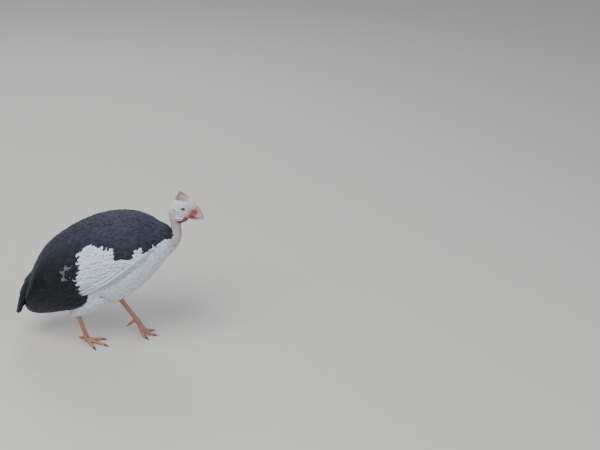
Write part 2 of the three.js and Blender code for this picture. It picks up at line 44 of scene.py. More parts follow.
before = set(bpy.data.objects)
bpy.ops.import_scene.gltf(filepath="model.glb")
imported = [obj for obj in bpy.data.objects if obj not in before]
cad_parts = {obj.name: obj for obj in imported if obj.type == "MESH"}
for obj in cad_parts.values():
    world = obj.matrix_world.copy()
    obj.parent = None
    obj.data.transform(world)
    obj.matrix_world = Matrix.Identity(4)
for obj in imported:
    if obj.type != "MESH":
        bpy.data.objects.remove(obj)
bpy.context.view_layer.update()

# The bird's own measures are in millimetres, with x = 0 at the ball of the planted foot
BODY_STATIONS = (
    # back x, back z, belly x, belly z, half the width
    (-136, 87, -122, 61, 12),
    (-130, 107, -105, 63, 32),
    (-120, 143, -78, 67, 50),
    (-106, 178, -52, 74, 63),
    (-86, 213, -23, 81, 73),
    (-57, 241, 8, 88, 76.5),
    (-17, 269, 42, 99, 79),
    (34, 291, 76, 110, 80),
    (85, 298, 104, 131, 76.5),
    (123, 291, 130, 156, 67),
    (148, 279, 152, 184, 54.5),
    (163, 274, 168, 206, 40),
    (171, 269, 181, 221, 27),
    (174, 267, 191, 236, 18),
    (175, 274, 197, 254, 12.8),
    (174, 285, 196, 275, 11.6),
    (172, 297, 195, 290, 11.6),
    (171, 308, 194, 303, 11.8),
)
SECTION_ROUNDNESS = 0.92
LAST_STATION = len(BODY_STATIONS) - 1

HEAD_CENTRE = np.array([195.0, 0.0, 313.5])
HEAD_PITCH = math.radians(22)
HEAD_STATIONS = (
    # x, top, bottom, half the width
    (-24, 2, -11, 6),
    (-21.5, 11.5, -17.5, 11),
    (-16.5, 18.5, -22, 14.2),
    (-8.5, 24, -23.5, 15.8),
    (1, 27, -23, 15.8),
    (10, 28.5, -20, 14.6),
    (18, 26.5, -14.5, 11.8),
    (24.5, 22.5, -8, 9),
)
CASQUE_STATIONS = (
    # z, x, half the length, half the width
    (14, 2, 21, 8.4),
    (22, 2, 21, 7.6),
    (27, 0.8, 19.4, 6.6),
    (31, -1.2, 16.8, 5.2),
    (33.6, -5, 12.6, 3.6),
    (34.9, -11.4, 6.2, 2.6),
    (37, -17, 1.2, 1),
)
UPPER_BILL = (
    # x, top, bottom, half the width
    (17, 25.5, 0, 8.6),
    (26, 22.3, -1, 7.6),
    (34, 18, -1.3, 6),
    (41, 13.2, -1.4, 4.2),
    (46, 8.6, -1.6, 2.6),
    (49.3, 3.2, -2, 1),
)
LOWER_BILL = (
    # x, top, bottom, half the width
    (14, -1, -12, 6.8),
    (24, -1.9, -10.2, 6),
    (32, -2.2, -8.2, 4.6),
    (38, -2.3, -6.2, 3.1),
    (42.5, -2.6, -4, 1.5),
)
EYE = (2.8, 11.2, 9.8)
EYE_RADIUS = 5.6
EAR = (-10.5, 15.6, -1.0)
HEAD_LUMPS = (
    # centre and radii of the brow, the jowl and the ear
    ((5, 12.5, 17), (8, 3.4, 2.6)),
    ((2, 10.5, -12), (11, 6.2, 9)),
    (EAR, (3.6, 1.2, 3.2)),
)
NOSTRIL = (30.0, 6.3, 10.0)
NOSTRIL_SLANT = np.array([[0.94, 0, -0.34], [0, 1, 0], [0.34, 0, 0.94]])
NOSTRIL_SLIT = np.array([2.9, 4.0, 0.95])
NOSTRIL_LIP = np.array([3.6, 4.0, 1.2])
NOSTRIL_LIP_RISE = np.array([0, 0, 1.7])
WATTLE_ROOT = (16.5, 9.6, -8.0)
WATTLE_TIP = (7.5, 14.0, -23.0)
WATTLE_BOW = 2.2
WATTLE_HALF_WIDTHS = (4.2, 5.8, 7.2, 8, 7.9, 6.8, 5.2, 3.4)

LEGS = {
    "right": dict(knee=(38, -42, 140), hock=(-19, -27, 79), ankle=(-4, -13, 9), side=-1, yaw=-20, planted=True),
    "left": dict(knee=(82, 42, 150), hock=(55, 36, 88), ankle=(99, 28, 31), side=1, yaw=-8, planted=False),
}
TOES = {"inner": (34, 0.76), "middle": (0, 1.0), "outer": (-34, 0.82)}
MIDDLE_TOE = 44.0
HIND_TOE = 16.0
PAD_HEIGHT = 2.3

WING_STATIONS = (10.3, 1.1)
WING_UPPER_EDGE = (56, 38, 31, 28, 28, 30, 35, 44, 58)
WING_LOWER_EDGE = (66, 88, 99, 105, 107, 105, 99, 86, 66)
WING_SWELL = 8.6

TAIL_ROOT = (-98, 0, 170)
TAIL_BEND = (-132, 0, 122)
TAIL_TIP = (-150, 0, 62)
TAIL_HALF_ROOT = 20.0
TAIL_HALF_SPREAD = 36.0
TAIL_ARCH = 1.15

# The edge of the white side, as places along the body and degrees round it from the middle of the back
WHITE_EDGE = (
    (14.4, 0), (14.2, 40), (13.5, 77), (12.2, 66), (10.55, 55), (10.0, 63), (9.6, 66), (9.2, 76), (8.85, 67),
    (8.5, 67), (8.35, 80), (7.85, 78), (7.4, 71), (7.65, 62), (7.15, 60), (6.6, 53), (6.25, 54), (6.1, 58),
    (6.15, 67), (5.9, 75), (5.55, 88), (5.6, 97), (5.75, 118), (5.6, 128), (4.4, 146), (3.9, 152), (3.9, 181),
    (18, 181), (18, 0),
)

# Colours that stay the same whatever the user sets
BLUSH = (0.58, 0.33, 0.36)
FOLD_SHADE = (0.16, 0.13, 0.16)
BILL_TIP = (0.36, 0.33, 0.31)
NOSTRIL_SHADE = (0.02, 0.008, 0.008)
EYE_RINGS = (
    # share of the way from the pupil's middle to the lids, colour
    (0.0, (0.004, 0.003, 0.003)),
    (0.36, (0.004, 0.003, 0.003)),
    (0.44, (0.022, 0.010, 0.006)),
    (0.70, (0.034, 0.016, 0.009)),
    (0.78, (0.006, 0.004, 0.004)),
    (1.0, (0.012, 0.009, 0.008)),
)

# Heights where the coat ends on the neck, and above which the skin is bare
COAT_TOP = 284
NECK_TOP = 290

# The few paler feathers of the rear flank
FLECK_STATION = 5.2
FLECK_DEGREES = 74
FLECK_WHITE = 0.16

# How far roots stray from even rows, as a share of their spacing
ROOT_STRAY = 0.16

MM = 1000  # millimetres in a metre
SIDES = (("right", -1), ("left", 1))


def mirrored(place, side):
    """A place on the right half, where side is -1, or on the left half, where it is 1."""
    return np.array([place[0], side * place[1], place[2]], float)


eye_low, eye_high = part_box("eye_right")
turn_head = np.array(Matrix.Rotation(HEAD_PITCH, 3, "Y"))
SHIFT = np.array((eye_low + eye_high) / 2) * MM - (HEAD_CENTRE + turn_head @ mirrored(EYE, -1))


def to_frame(points):
    """Millimetres of the bird to metres of the model."""
    return (np.asarray(points, float) + SHIFT) / MM


def unit(vectors):
    return vectors / np.maximum(np.linalg.norm(vectors, axis=-1, keepdims=True), 1e-9)


def full_turn(count, offset=0.0):
    """Even angles round one full turn."""
    return 2 * np.pi * (np.arange(count) + offset) / count


def tinted(colour, factor):
    return tuple(min(c * factor, 1) for c in colour)


# Curves and surfaces
def spline(points, share):
    """Centripetal curve through points, at shares from 0 to 1 of their count."""
    count = len(points)
    place = np.asarray(share, float) * (count - 1)
    first = np.clip(np.floor(place).astype(int), 0, count - 2)
    rest = (place - first)[..., None]

    def at(k):
        return points[np.clip(k, 0, count - 1)]

    p1, p2 = at(first), at(first + 1)
    p0 = np.where((first == 0)[..., None], 2 * points[0] - points[1], at(first - 1))
    p3 = np.where((first == count - 2)[..., None], 2 * points[-1] - points[-2], at(first + 2))

    def gap(a, b):
        return np.maximum(((a - b) ** 2).sum(-1) ** 0.25, 1e-4)[..., None]

    a, b, c = gap(p0, p1), gap(p1, p2), gap(p2, p3)
    t1 = ((p1 - p0) / a - (p2 - p0) / (a + b) + (p2 - p1) / b) * b
    t2 = ((p2 - p1) / b - (p3 - p1) / (b + c) + (p3 - p2) / c) * b
    return (
        p1
        + t1 * rest
        + (-3 * p1 + 3 * p2 - 2 * t1 - t2) * rest**2
        + (2 * p1 - 2 * p2 + t1 + t2) * rest**3
    )


stations = np.array(BODY_STATIONS, float)
back_line = stations[:, [0, 4, 1]]
belly_line = stations[:, [2, 4, 3]]


def body_skin_point(station, angle):
    """A point of the body's own surface."""
    share = np.asarray(station, float) / LAST_STATION
    back, belly = spline(back_line, share), spline(belly_line, share)
    half = back[..., 1].copy()
    back[..., 1] = 0
    belly[..., 1] = 0

    def rounded(x):
        return np.sign(x) * np.abs(x) ** SECTION_ROUNDNESS

    point = (back + belly) / 2 + (back - belly) / 2 * rounded(np.cos(angle))[..., None]
    point[..., 1] = half * rounded(np.sin(angle))
    return point


def body_point(station, angle, lift):
    """A point of the body: place along it, angle round it towards the left side, and lift off the solids."""
    station, angle, lift = np.broadcast_arrays(station, angle, lift)
    step = 0.02
    along = body_skin_point(station + step, angle) - body_skin_point(station - step, angle)
    across = body_skin_point(station, angle + step) - body_skin_point(station, angle - step)
    normal = unit(np.cross(along, across))
    point = body_skin_point(station, angle)
    share = station / LAST_STATION
    middle = (spline(back_line, share) + spline(belly_line, share)) / 2
    middle[..., 1] = 0
    facing = np.sign((normal * (point - middle)).sum(-1, keepdims=True))
    normal = normal * np.where(facing == 0, 1, facing)
    return point + normal * lift[..., None], normal


def blend_list(values, share):
    return np.interp(share, np.linspace(0, 1, len(values)), values)


def wing_share(station, angle):
    """Where a place on the body falls on the folded wing: share of its length and of its width."""
    long = (WING_STATIONS[0] - station) / (WING_STATIONS[0] - WING_STATIONS[1])
    upper, lower = blend_list(WING_UPPER_EDGE, long), blend_list(WING_LOWER_EDGE, long)
    return long, (np.abs(np.degrees(angle)) - upper) / (lower - upper)


def wing_swell(long, wide):
    """How far the folded wing stands off the body."""
    inside = np.clip(np.sin(np.pi * np.clip(long, 0, 1)), 0, 1) * np.clip(np.sin(np.pi * np.clip(wide, 0, 1)), 0, 1)
    fore = np.clip((0.94 - long - 0.22 * wide) / 0.24, 0, 1)
    return WING_SWELL * inside**0.6 * fore * fore * (3 - 2 * fore)


def wing_place(long, wide):
    """Place along the body, and angle round it, of a place on the folded wing."""
    station = WING_STATIONS[0] + (WING_STATIONS[1] - WING_STATIONS[0]) * long
    upper, lower = blend_list(WING_UPPER_EDGE, long), blend_list(WING_LOWER_EDGE, long)
    return station, np.radians(upper + (lower - upper) * wide)


def wing_point(side, long, wide, lift):
    station, angle = wing_place(long, wide)
    return body_point(station, side * angle, lift)


tail_line = np.array([TAIL_ROOT, TAIL_BEND, TAIL_TIP], float)


def tail_point(side, long, across, lift):
    """A point of the tail: share of its length, place across one half of it, and lift off its middle surface."""
    long, across, lift = np.broadcast_arrays(long, side * across, lift)
    end = np.minimum(long, 1.0)
    point = spline(tail_line, end)
    tangent = spline(tail_line, end + 0.001) - spline(tail_line, end - 0.001)
    out = unit(np.cross(tangent, np.array([0.0, 1.0, 0.0])))
    out = np.where(out[..., :1] > 0, -out, out)
    spread = TAIL_HALF_ROOT + (TAIL_HALF_SPREAD - TAIL_HALF_ROOT) * long
    turn = across * TAIL_ARCH
    point[..., 1] = spread * np.sin(turn) / math.sin(TAIL_ARCH)
    point = point + out * (spread * 0.5 * (np.cos(turn) - 1))[..., None]
    out = out * np.cos(turn)[..., None]
    out[..., 1] += np.sin(turn)
    return point + out * lift[..., None], out


def inside_outline(outline, x, y):
    """Whether points lie inside a closed outline."""
    inside = np.zeros(np.shape(x), bool)
    for (x0, y0), (x1, y1) in zip(outline, outline[1:] + outline[:1]):
        crosses = (y0 > y) != (y1 > y)
        with np.errstate(divide="ignore", invalid="ignore"):
            at = (x1 - x0) * (y - y0) / ((y1 - y0) or 1e-9) + x0
        inside ^= crosses & (x < at)
    return inside


def darkness_and_shade(station, angle):
    """How near black the dark feathers are drawn: most on the rump, under the wing tips and on the tail, and more on
    the flank than on the top of the back. This is partly the feathers' own near-black and partly painted shade on the
    rear and low body, away from the light and under the wing.
    """
    rear = np.clip((7.4 - station) / 3.4, 0, 1)
    low = np.clip((np.abs(np.degrees(angle)) - 30) / 26, 0, 1)
    return np.clip(rear * (0.45 + 0.6 * low) + 0.2 * low, 0, 0.97)


def is_white(station, angle):
    """1 on the white side, 0 on the dark back, and a little on a few feathers of the rear flank."""
    degrees = np.abs((np.degrees(angle) + 180) % 360 - 180)
    white = inside_outline(WHITE_EDGE, station, degrees).astype(float)
    across = degrees - FLECK_DEGREES
    fleck = np.abs(station - FLECK_STATION + 0.02 * across) + np.abs(across) / 26
    chance = (np.sin(station * 127.1 + degrees * 31.7) * 43758.5) % 1
    return np.maximum(white, FLECK_WHITE * (fleck < 0.3) * (chance < 0.35))


# Meshes
def link_object(name, data, material=None):
    made = bpy.data.objects.new(name, data)
    bpy.context.scene.collection.objects.link(made)
    if material:
        data.materials.append(material)
    return made


def make_object(name, points, faces, material=None):
    """A mesh object from points in the bird's millimetres."""
    mesh = bpy.data.meshes.new(name)
    mesh.from_pydata([tuple(p) for p in to_frame(points)], [], [tuple(f) for f in faces])
    mesh.validate()
    mesh.shade_smooth()
    return link_object(name, mesh, material)


def loft_faces(rings, sides):
    """Quads between rings of points, then the first cap and the last."""
    faces = []
    for i in range(rings - 1):
        for j in range(sides):
            a, b = i * sides + j, i * sides + (j + 1) % sides
            faces.append((a, b, b + sides, a + sides))
    faces.append(tuple(range(sides))[::-1])
    faces.append(tuple(range((rings - 1) * sides, rings * sides)))
    return faces


def outward(made, weld=False):
    """Turns the faces of a closed mesh outwards, and welds its doubled points first if asked."""
    mesh = bmesh.new()
    mesh.from_mesh(made.data)
    if weld:
        bmesh.ops.remove_doubles(mesh, verts=mesh.verts, dist=1e-7)
    bmesh.ops.recalc_face_normals(mesh, faces=mesh.faces)
    mesh.to_mesh(made.data)
    mesh.free()
    return made


def loft(name, rings, material=None):
    rings = np.asarray(rings, float)
    count, sides = rings.shape[:2]
    return outward(make_object(name, rings.reshape(-1, 3), loft_faces(count, sides), material))


def upright_lines(rows, share):
    """Lines through the tops and the bottoms of upright sections, each as x, half width and height."""
    rows = np.array(rows, float)
    return spline(rows[:, [0, 3, 1]], share), spline(rows[:, [0, 3, 2]], share)


def oval_rings(rows, sides, count):
    """Rings through upright oval sections of the head."""
    top, bottom = upright_lines(rows, np.linspace(0, 1, count + 1))
    turn = full_turn(sides, 0.5)
    rings = np.zeros((count + 1, sides, 3))
    rings[..., 0] = top[:, 0:1]
    rings[..., 1] = top[:, 1:2] * np.sin(turn)
    rings[..., 2] = (top[:, 2:] + bottom[:, 2:]) / 2 + (top[:, 2:] - bottom[:, 2:]) / 2 * np.cos(turn)
    return rings


def tube_rings(line, radii, sides, flat=1.0):
    points = np.asarray(line, float)
    turn = full_turn(sides, 0.5)
    rings = []
    for i, point in enumerate(points):
        along = unit(points[min(i + 1, len(points) - 1)] - points[max(i - 1, 0)])
        level = np.array([1.0, 0, 0]) if abs(along[2]) > 0.95 else np.array([0, 0, 1.0])
        across = unit(np.cross(level, along))
        up = np.cross(along, across)
        rings.append(point + radii[i] * (np.cos(turn)[:, None] * across + flat * np.sin(turn)[:, None] * up))
    return rings


def ball_rings(centre, radii, sides):
    count = sides // 2
    polar = np.linspace(0.02, math.pi - 0.02, count)
    turn = full_turn(sides)
    rings = np.zeros((count, sides, 3))
    rings[..., 0] = np.cos(polar)[:, None]
    rings[..., 1] = np.sin(polar)[:, None] * np.cos(turn)
    rings[..., 2] = np.sin(polar)[:, None] * np.sin(turn)
    return rings * np.array(radii) + np.array(centre)


def in_head(points):
    """From the head's own frame to the bird's."""
    return np.asarray(points) @ turn_head.T + HEAD_CENTRE


def head_places(points):
    """From the bird's frame to the head's own."""
    return (points - HEAD_CENTRE) @ turn_head


def join(objects, name):
    bpy.ops.object.select_all(action="DESELECT")
    for made in objects:
        made.select_set(True)
    bpy.context.view_layer.objects.active = objects[0]
    if len(objects) > 1:
        bpy.ops.object.join()
    joined = bpy.context.view_layer.objects.active
    joined.name = joined.data.name = name
    return joined


def fuse(objects, name, voxel, smoothing):
    """Closed meshes fused into one even skin: the voxel is in millimetres."""
    made = join(objects, name)
    remesh = made.modifiers.new("fuse", "REMESH")
    remesh.mode = "VOXEL"
    remesh.voxel_size = voxel / MM
    smooth = made.modifiers.new("smooth", "SMOOTH")
    smooth.factor = 0.5
    smooth.iterations = smoothing
    fused = bpy.data.meshes.new_from_object(made.evaluated_get(bpy.context.evaluated_depsgraph_get()))
    made.modifiers.clear()
    old, made.data = made.data, fused
    bpy.data.meshes.remove(old)
    fused.shade_smooth()
    return made


def bird_points(made):
    co = np.zeros(len(made.data.vertices) * 3)
    made.data.vertices.foreach_get("co", co)
    return co.reshape(-1, 3) * MM - SHIFT

def set_material(made, material):
    made.data.materials.clear()
    made.data.materials.append(material)
def set_points(made, points):
    made.data.vertices.foreach_set("co", to_frame(points).ravel())
    made.data.update()


def paint(made, name, values):
    """A named number on each vertex, read by the materials."""
    layer = made.data.attributes.new(name, "FLOAT", "POINT")
    layer.data.foreach_set("value", np.asarray(values, np.float32).ravel())


# Feathers
# How wide a vane is along its length, as shares of both, and its cross section as places across it and its faces
WIDTHS = ((0.0, 0.3), (0.2, 0.7), (0.45, 0.95), (0.65, 1.0), (0.8, 0.93), (0.92, 0.66), (1.0, 0.2))
SECTION = ((-1, 0), (-0.55, 1), (0.55, 1), (1, 0), (0.55, -1), (-0.55, -1))
FLIGHT_WIDTHS = ((0.0, 0.4), (0.15, 0.75), (0.4, 0.95), (0.7, 1.0), (0.88, 0.9), (0.95, 0.66), (1.0, 0.2))
FLIGHT_SECTION = ((-1, 0), (-0.5, 1), (0, 1), (0.5, 1), (1, 0), (0.5, -1), (0, -1), (-0.5, -1))
VANE_SHARES = (0.0, 0.3, 0.58, 0.8, 0.93, 1.0)
QUILL_RISE = 0.35
PATCH = 0.003


def vane_shares(rows):
    """Where the rows of a vane stand along it, closer together towards its tip."""
    return blend_list(VANE_SHARES, np.linspace(0, 1, rows))


def feathers(name, paths, normals, half, thick, camber, values, roots, material, flight=False):
    """Closed vanes along paths: paths and normals are (feathers, rows, 3), and half is each one's half width."""
    count, rows = paths.shape[:2]
    widths, places = (FLIGHT_WIDTHS, FLIGHT_SECTION) if flight else (WIDTHS, SECTION)
    across = unit(np.cross(normals, unit(np.gradient(paths, axis=1))))
    share = vane_shares(rows)
    width = np.interp(share, *np.array(widths).T)[None, :] * np.asarray(half)[:, None]
    sides = len(places)
    points = np.zeros((count, rows, sides, 3))
    for k, (out, face) in enumerate(places):
        quill = QUILL_RISE if out == 0 and face > 0 else 0.0
        rise = -camber * out * out * width + face * thick / 2 * (1 - out * out * 0.6) + quill * thick
        points[:, :, k] = paths + across * (out * width)[..., None] + normals * rise[..., None]
    *quads, foot, tip = loft_faces(rows, sides)
    per = rows * sides
    first = (np.arange(count) * per)[:, None, None]
    faces = (np.array(quads)[None] + first).reshape(-1, 4)
    caps = (np.array([foot, tip])[None] + first).reshape(-1, sides)
    loops = np.concatenate([faces.ravel(), caps.ravel()]).astype(np.int32)
    corners = np.concatenate([np.full(len(faces), 4), np.full(len(caps), sides)])
    mesh = bpy.data.meshes.new(name)
    mesh.vertices.add(count * per)
    mesh.vertices.foreach_set("co", to_frame(points.reshape(-1, 3)).ravel())
    mesh.loops.add(len(loops))
    mesh.loops.foreach_set("vertex_index", loops)
    mesh.polygons.add(len(corners))
    mesh.polygons.foreach_set("loop_start", (np.cumsum(corners) - corners).astype(np.int32))
    mesh.polygons.foreach_set("loop_total", corners.astype(np.int32))
    mesh.update(calc_edges=True)
    mesh.shade_smooth()
    made = link_object(name, mesh, material)
    for key, value in values.items():
        value = np.asarray(value, float)
        paint(made, key, np.repeat(value, sides, axis=1) if value.ndim == 2 else np.repeat(value, per))
    row_share = np.tile(np.repeat(share, sides), count)
    side_share = np.tile(np.array(places)[:, 0], count * rows)
    paint(made, "along_vane", row_share)
    paint(made, "across_vane", side_share)
    patch = mesh.uv_layers.new(name="OFBake")
    local = np.stack([side_share * 0.5 + 0.5, row_share], -1) * PATCH
    uv = np.repeat(np.asarray(roots, float), per, axis=0) + local
    patch.data.foreach_set("uv", uv[loops].astype(np.float32).ravel())
    return outward_all(made)


def outward_all(made):
    """Turns a joined feather mesh outwards if its first vane is inside out."""
    mesh = made.data
    first = mesh.polygons[1]
    centre = sum((mesh.vertices[i].co for i in range(8)), mesh.vertices[0].co * 0) / 8
    if first.normal.dot(first.center - centre) < 0:
        mesh.flip_normals()
    return made


def unwrap_place(station, angle):
    """Place of a root on an unwrap of the body: round it and along it."""
    return np.stack([0.02 + 0.9 * (np.degrees(angle) % 360) / 360, 0.02 + 0.9 * np.asarray(station) / LAST_STATION], -1)


def scatter_roots(low, high, spacing, rng):
    """Roots in staggered rows over the body between two stations, an even spacing apart in millimetres."""
    found = []
    station, row = low, 0
    round_body = np.linspace(-np.pi, np.pi, 73)
    while station < high:
        ring, _ = body_point(station, round_body, 0.0)
        girth = np.concatenate([[0], np.cumsum(np.linalg.norm(np.diff(ring, axis=0), axis=1))])
        count = max(int(girth[-1] / spacing), 6)
        places = (np.arange(count) + 0.5 * (row % 2)) / count * girth[-1]
        angles = np.interp(places + rng.normal(0, ROOT_STRAY * spacing, count), girth, round_body)
        ends, _ = body_point(np.array([[station], [station + 0.05]]), np.array([0.0, np.pi]), 0.0)
        metre = np.linalg.norm(ends[1] - ends[0], axis=-1).sum() / 0.1
        step = spacing / max(metre, 6)
        found.append(np.stack([station + rng.normal(0, ROOT_STRAY * step, count), angles], -1))
        station += step
        row += 1
    return np.concatenate(found)


def body_feathers(name, roots, length, half, lifts, material, rng, rows=6, droop=0.0, thick=0.22):
    """Feathers that lie back along the body from their roots, over the folded wing where it is."""
    count = len(roots)
    station, angle = roots[:, 0], roots[:, 1]
    size = 1 + 0.12 * rng.normal(size=count)
    here = body_skin_point(station, angle)
    metre = np.linalg.norm(body_skin_point(station - 0.1, angle) - here, axis=-1) / 0.1
    share = vane_shares(rows)
    travel = (length * size)[:, None] * share / np.maximum(metre, 9)[:, None]
    turn = (droop + 0.05 * rng.normal(size=count))[:, None] * share * np.sin(angle)[:, None]
    path_station = np.maximum(station[:, None] - travel, 0.12 - 0.04 * share)
    path_angle = angle[:, None] + turn
    swell = wing_swell(*wing_share(path_station, path_angle))
    stand = np.interp(share, [0, 0.3, 0.7, 1], lifts)[None, :] + rng.normal(0, 0.35, (count, 1)) * share
    points, normals = body_point(path_station, path_angle, stand + swell)
    shade = rng.random(count)
    seen = (path_station[:, 3] + 0.05 * rng.normal(size=count), path_angle[:, 3] + 0.03 * rng.normal(size=count))
    values = {"white": is_white(*seen), "shade": shade, "dark": darkness_and_shade(*seen)}
    return feathers(
        name, points, normals, half * size, thick, 0.16, values, unwrap_place(station, angle), material
    )


# Materials
def new_material(name, values):
    """A material with one shader, with these values on its sockets."""
    made = bpy.data.materials.new(name)
    made.use_nodes = True
    tree = made.node_tree
    tree.nodes.clear()
    out = tree.nodes.new("ShaderNodeOutputMaterial")
    shader = tree.nodes.new("ShaderNodeBsdfPrincipled")
    tree.links.new(shader.outputs[0], out.inputs[0])
    for socket, value in values.items():
        shader.inputs[socket].default_value = value
    return made, tree, shader


def put(tree, socket, value):
    """Sets a socket to a number or a colour, or links it to another node."""
    if hasattr(value, "__len__"):
        socket.default_value = (*value[:3], 1)
    elif isinstance(value, (int, float)):
        socket.default_value = value
    else:
        tree.links.new(value, socket)


def attribute(tree, name):
    node = tree.nodes.new("ShaderNodeAttribute")
    node.attribute_name = name
    return node.outputs["Fac"]


def mix_colour(tree, factor, first, second, blend="MIX"):
    node = tree.nodes.new("ShaderNodeMix")
    node.data_type = "RGBA"
    node.blend_type = blend
    for place, value in ((0, factor), (6, first), (7, second)):
        put(tree, node.inputs[place], value)
    return node.outputs[2]


def sums(tree, kind, *values):
    node = tree.nodes.new("ShaderNodeMath")
    node.operation = kind
    for socket, value in zip(node.inputs, values):
        put(tree, socket, value)
    return node.outputs[0]


def times(tree, first, second):
    return sums(tree, "MULTIPLY", first, second)


def noise(tree, scale, detail, stretch=(1, 1, 1)):
    place = tree.nodes.new("ShaderNodeTexCoord")
    mapping = tree.nodes.new("ShaderNodeMapping")
    mapping.inputs["Scale"].default_value = stretch
    node = tree.nodes.new("ShaderNodeTexNoise")
    node.inputs["Scale"].default_value = scale
    node.inputs["Detail"].default_value = detail
    tree.links.new(place.outputs["Object"], mapping.inputs[0])
    tree.links.new(mapping.outputs[0], node.inputs["Vector"])
    return node.outputs[0]


def ramp(tree, factor, *stops):
    node = tree.nodes.new("ShaderNodeValToRGB")
    tree.links.new(factor, node.inputs[0])
    while len(node.color_ramp.elements) < len(stops):
        node.color_ramp.elements.new(0.5)
    for element, (place, colour) in zip(node.color_ramp.elements, stops):
        element.position = place
        element.color = (*colour[:3], 1)
    return node.outputs[0]


def bump(tree, shader, height, strength, distance):
    node = tree.nodes.new("ShaderNodeBump")
    node.inputs["Strength"].default_value = strength
    node.inputs["Distance"].default_value = distance
    tree.links.new(height, node.inputs["Height"])
    tree.links.new(node.outputs[0], shader.inputs["Normal"])


def feather_material(name, dark, light, sheen):
    """Dark and pale feathers with a pattern of barbs, told apart by the numbers painted on each feather."""
    made, tree, shader = new_material(name, {
        "Roughness": 0.6,
        "Sheen Weight": 0.06,
        "Sheen Roughness": 0.45,
        "Sheen Tint": (*sheen, 1),
        "Specular IOR Level": 0.26,
    })
    shade, along, across = (attribute(tree, key) for key in ("shade", "along_vane", "across_vane"))
    navy = mix_colour(tree, shade, tinted(dark, 0.55), tinted(dark, 1.5))
    navy = mix_colour(tree, times(tree, sums(tree, "POWER", along, 4.0), 0.3), navy, tinted(dark, 2))
    # Near black where a feather's dark value is high: partly the coat's own near-black, partly painted shade on the
    # rump, the low flank and under the wing.
    black = mix_colour(tree, shade, tinted(dark, 0.07), tinted(dark, 0.21))
    navy = mix_colour(tree, attribute(tree, "dark"), navy, black)
    pale = mix_colour(tree, shade, tinted(light, 0.86), light)
    pale = mix_colour(tree, times(tree, sums(tree, "SUBTRACT", 1.0, along), 0.25), pale, tinted(light, 0.78))
    pale = mix_colour(tree, attribute(tree, "blush"), pale, BLUSH)
    colour = mix_colour(tree, attribute(tree, "white"), navy, pale)
    grain = ramp(tree, noise(tree, 700, 5), (0.3, (0.74, 0.74, 0.76)), (0.62, (1.0, 1.0, 1.0)))
    tree.links.new(mix_colour(tree, 1.0, colour, grain, "MULTIPLY"), shader.inputs["Base Color"])
    barb = sums(tree, "ADD", times(tree, along, 46.0), times(tree, sums(tree, "ABSOLUTE", across), -9.0))
    wave = sums(tree, "SINE", times(tree, barb, 3.0))
    bump(tree, shader, sums(tree, "ADD", wave, times(tree, noise(tree, 1600, 3), 2.4)), 0.3, 0.00022)
    return made


def coat_material():
    """The one material of the body, thigh, wing and tail feathers."""
    name = "feathers"
    return bpy.data.materials.get(name) or feather_material(name, colours().back, colours().breast, (0.55, 0.65, 0.95))


def skin_material(name):
    """Bare skin of the face, and the skin under the coat with the coat's own marking."""
    made, tree, shader = new_material(name, {
        "Roughness": 0.55,
        "Subsurface Weight": 0.08,
        "Subsurface Radius": (0.004, 0.0015, 0.001),
    })
    palette = colours()
    mottled = noise(tree, 260, 6)
    bare = ramp(tree, mottled, (0.3, palette.face_shade), (0.62, palette.face))
    red = ramp(tree, mottled, (0.3, tinted(palette.cere, 0.6)), (0.65, palette.cere))
    under = mix_colour(tree, attribute(tree, "white"), tinted(palette.back, 0.4), palette.breast)
    for key, over in (("red", red), ("horny", tinted(palette.horn, 0.8)), ("crease", FOLD_SHADE), ("coat", under)):
        bare = mix_colour(tree, attribute(tree, key), bare, over)
    tree.links.new(bare, shader.inputs["Base Color"])
    bump(tree, shader, sums(tree, "ADD", mottled, noise(tree, 1400, 3)), 0.5, 0.0006)
    return made


def plain_material(name, low, high, scale, rough, strength=0.3, distance=0.0004):
    """A finish of one mottled colour, from its low shade to its high one."""
    made, tree, shader = new_material(name, {"Roughness": rough})
    pattern = noise(tree, scale, 5)
    tree.links.new(ramp(tree, pattern, (0.32, low), (0.66, high)), shader.inputs["Base Color"])
    bump(tree, shader, pattern, strength, distance)
    return made


def casque_material(name):
    made, tree, shader = new_material(name, {"Roughness": 0.5})
    base = colours().horn
    pattern = noise(tree, 130, 6, (1, 1, 0.5))
    horn = ramp(tree, pattern, (0.3, tinted(base, 0.55)), (0.68, tinted(base, 1.3)))
    pale = ramp(tree, pattern, (0.3, (0.50, 0.38, 0.37)), (0.62, (0.66, 0.58, 0.60)))
    colour = mix_colour(tree, attribute(tree, "fore"), horn, pale)
    patch = ramp(tree, noise(tree, 210, 3), (0.5, (0.0, 0.0, 0.0)), (0.58, (1.0, 1.0, 1.0)))
    spots = times(tree, times(tree, patch, attribute(tree, "low")), 0.55)
    tree.links.new(mix_colour(tree, spots, colour, tinted(base, 0.5)), shader.inputs["Base Color"])
    bump(tree, shader, pattern, 0.5, 0.0007)
    return made


def bill_material(name):
    made, tree, shader = new_material(name, {"Roughness": 0.36})
    base, cere = colours().bill, colours().cere
    pattern = noise(tree, 90, 5, (1, 1, 0.5))
    colour = ramp(tree, pattern, (0.3, tinted(base, 0.72)), (0.7, tinted(base, 1.25)))
    # The red's dark end, four tenths of the cere, also serves as painted shade on the lower bill.
    red = ramp(tree, pattern, (0.35, tinted(cere, 0.4)), (0.62, cere))
    for key, over in (("tip", BILL_TIP), ("red", red), ("hollow", NOSTRIL_SHADE)):
        colour = mix_colour(tree, attribute(tree, key), colour, over)
    tree.links.new(colour, shader.inputs["Base Color"])
    bump(tree, shader, noise(tree, 900, 4, (0.3, 1, 1)), 0.25, 0.0002)
    return made


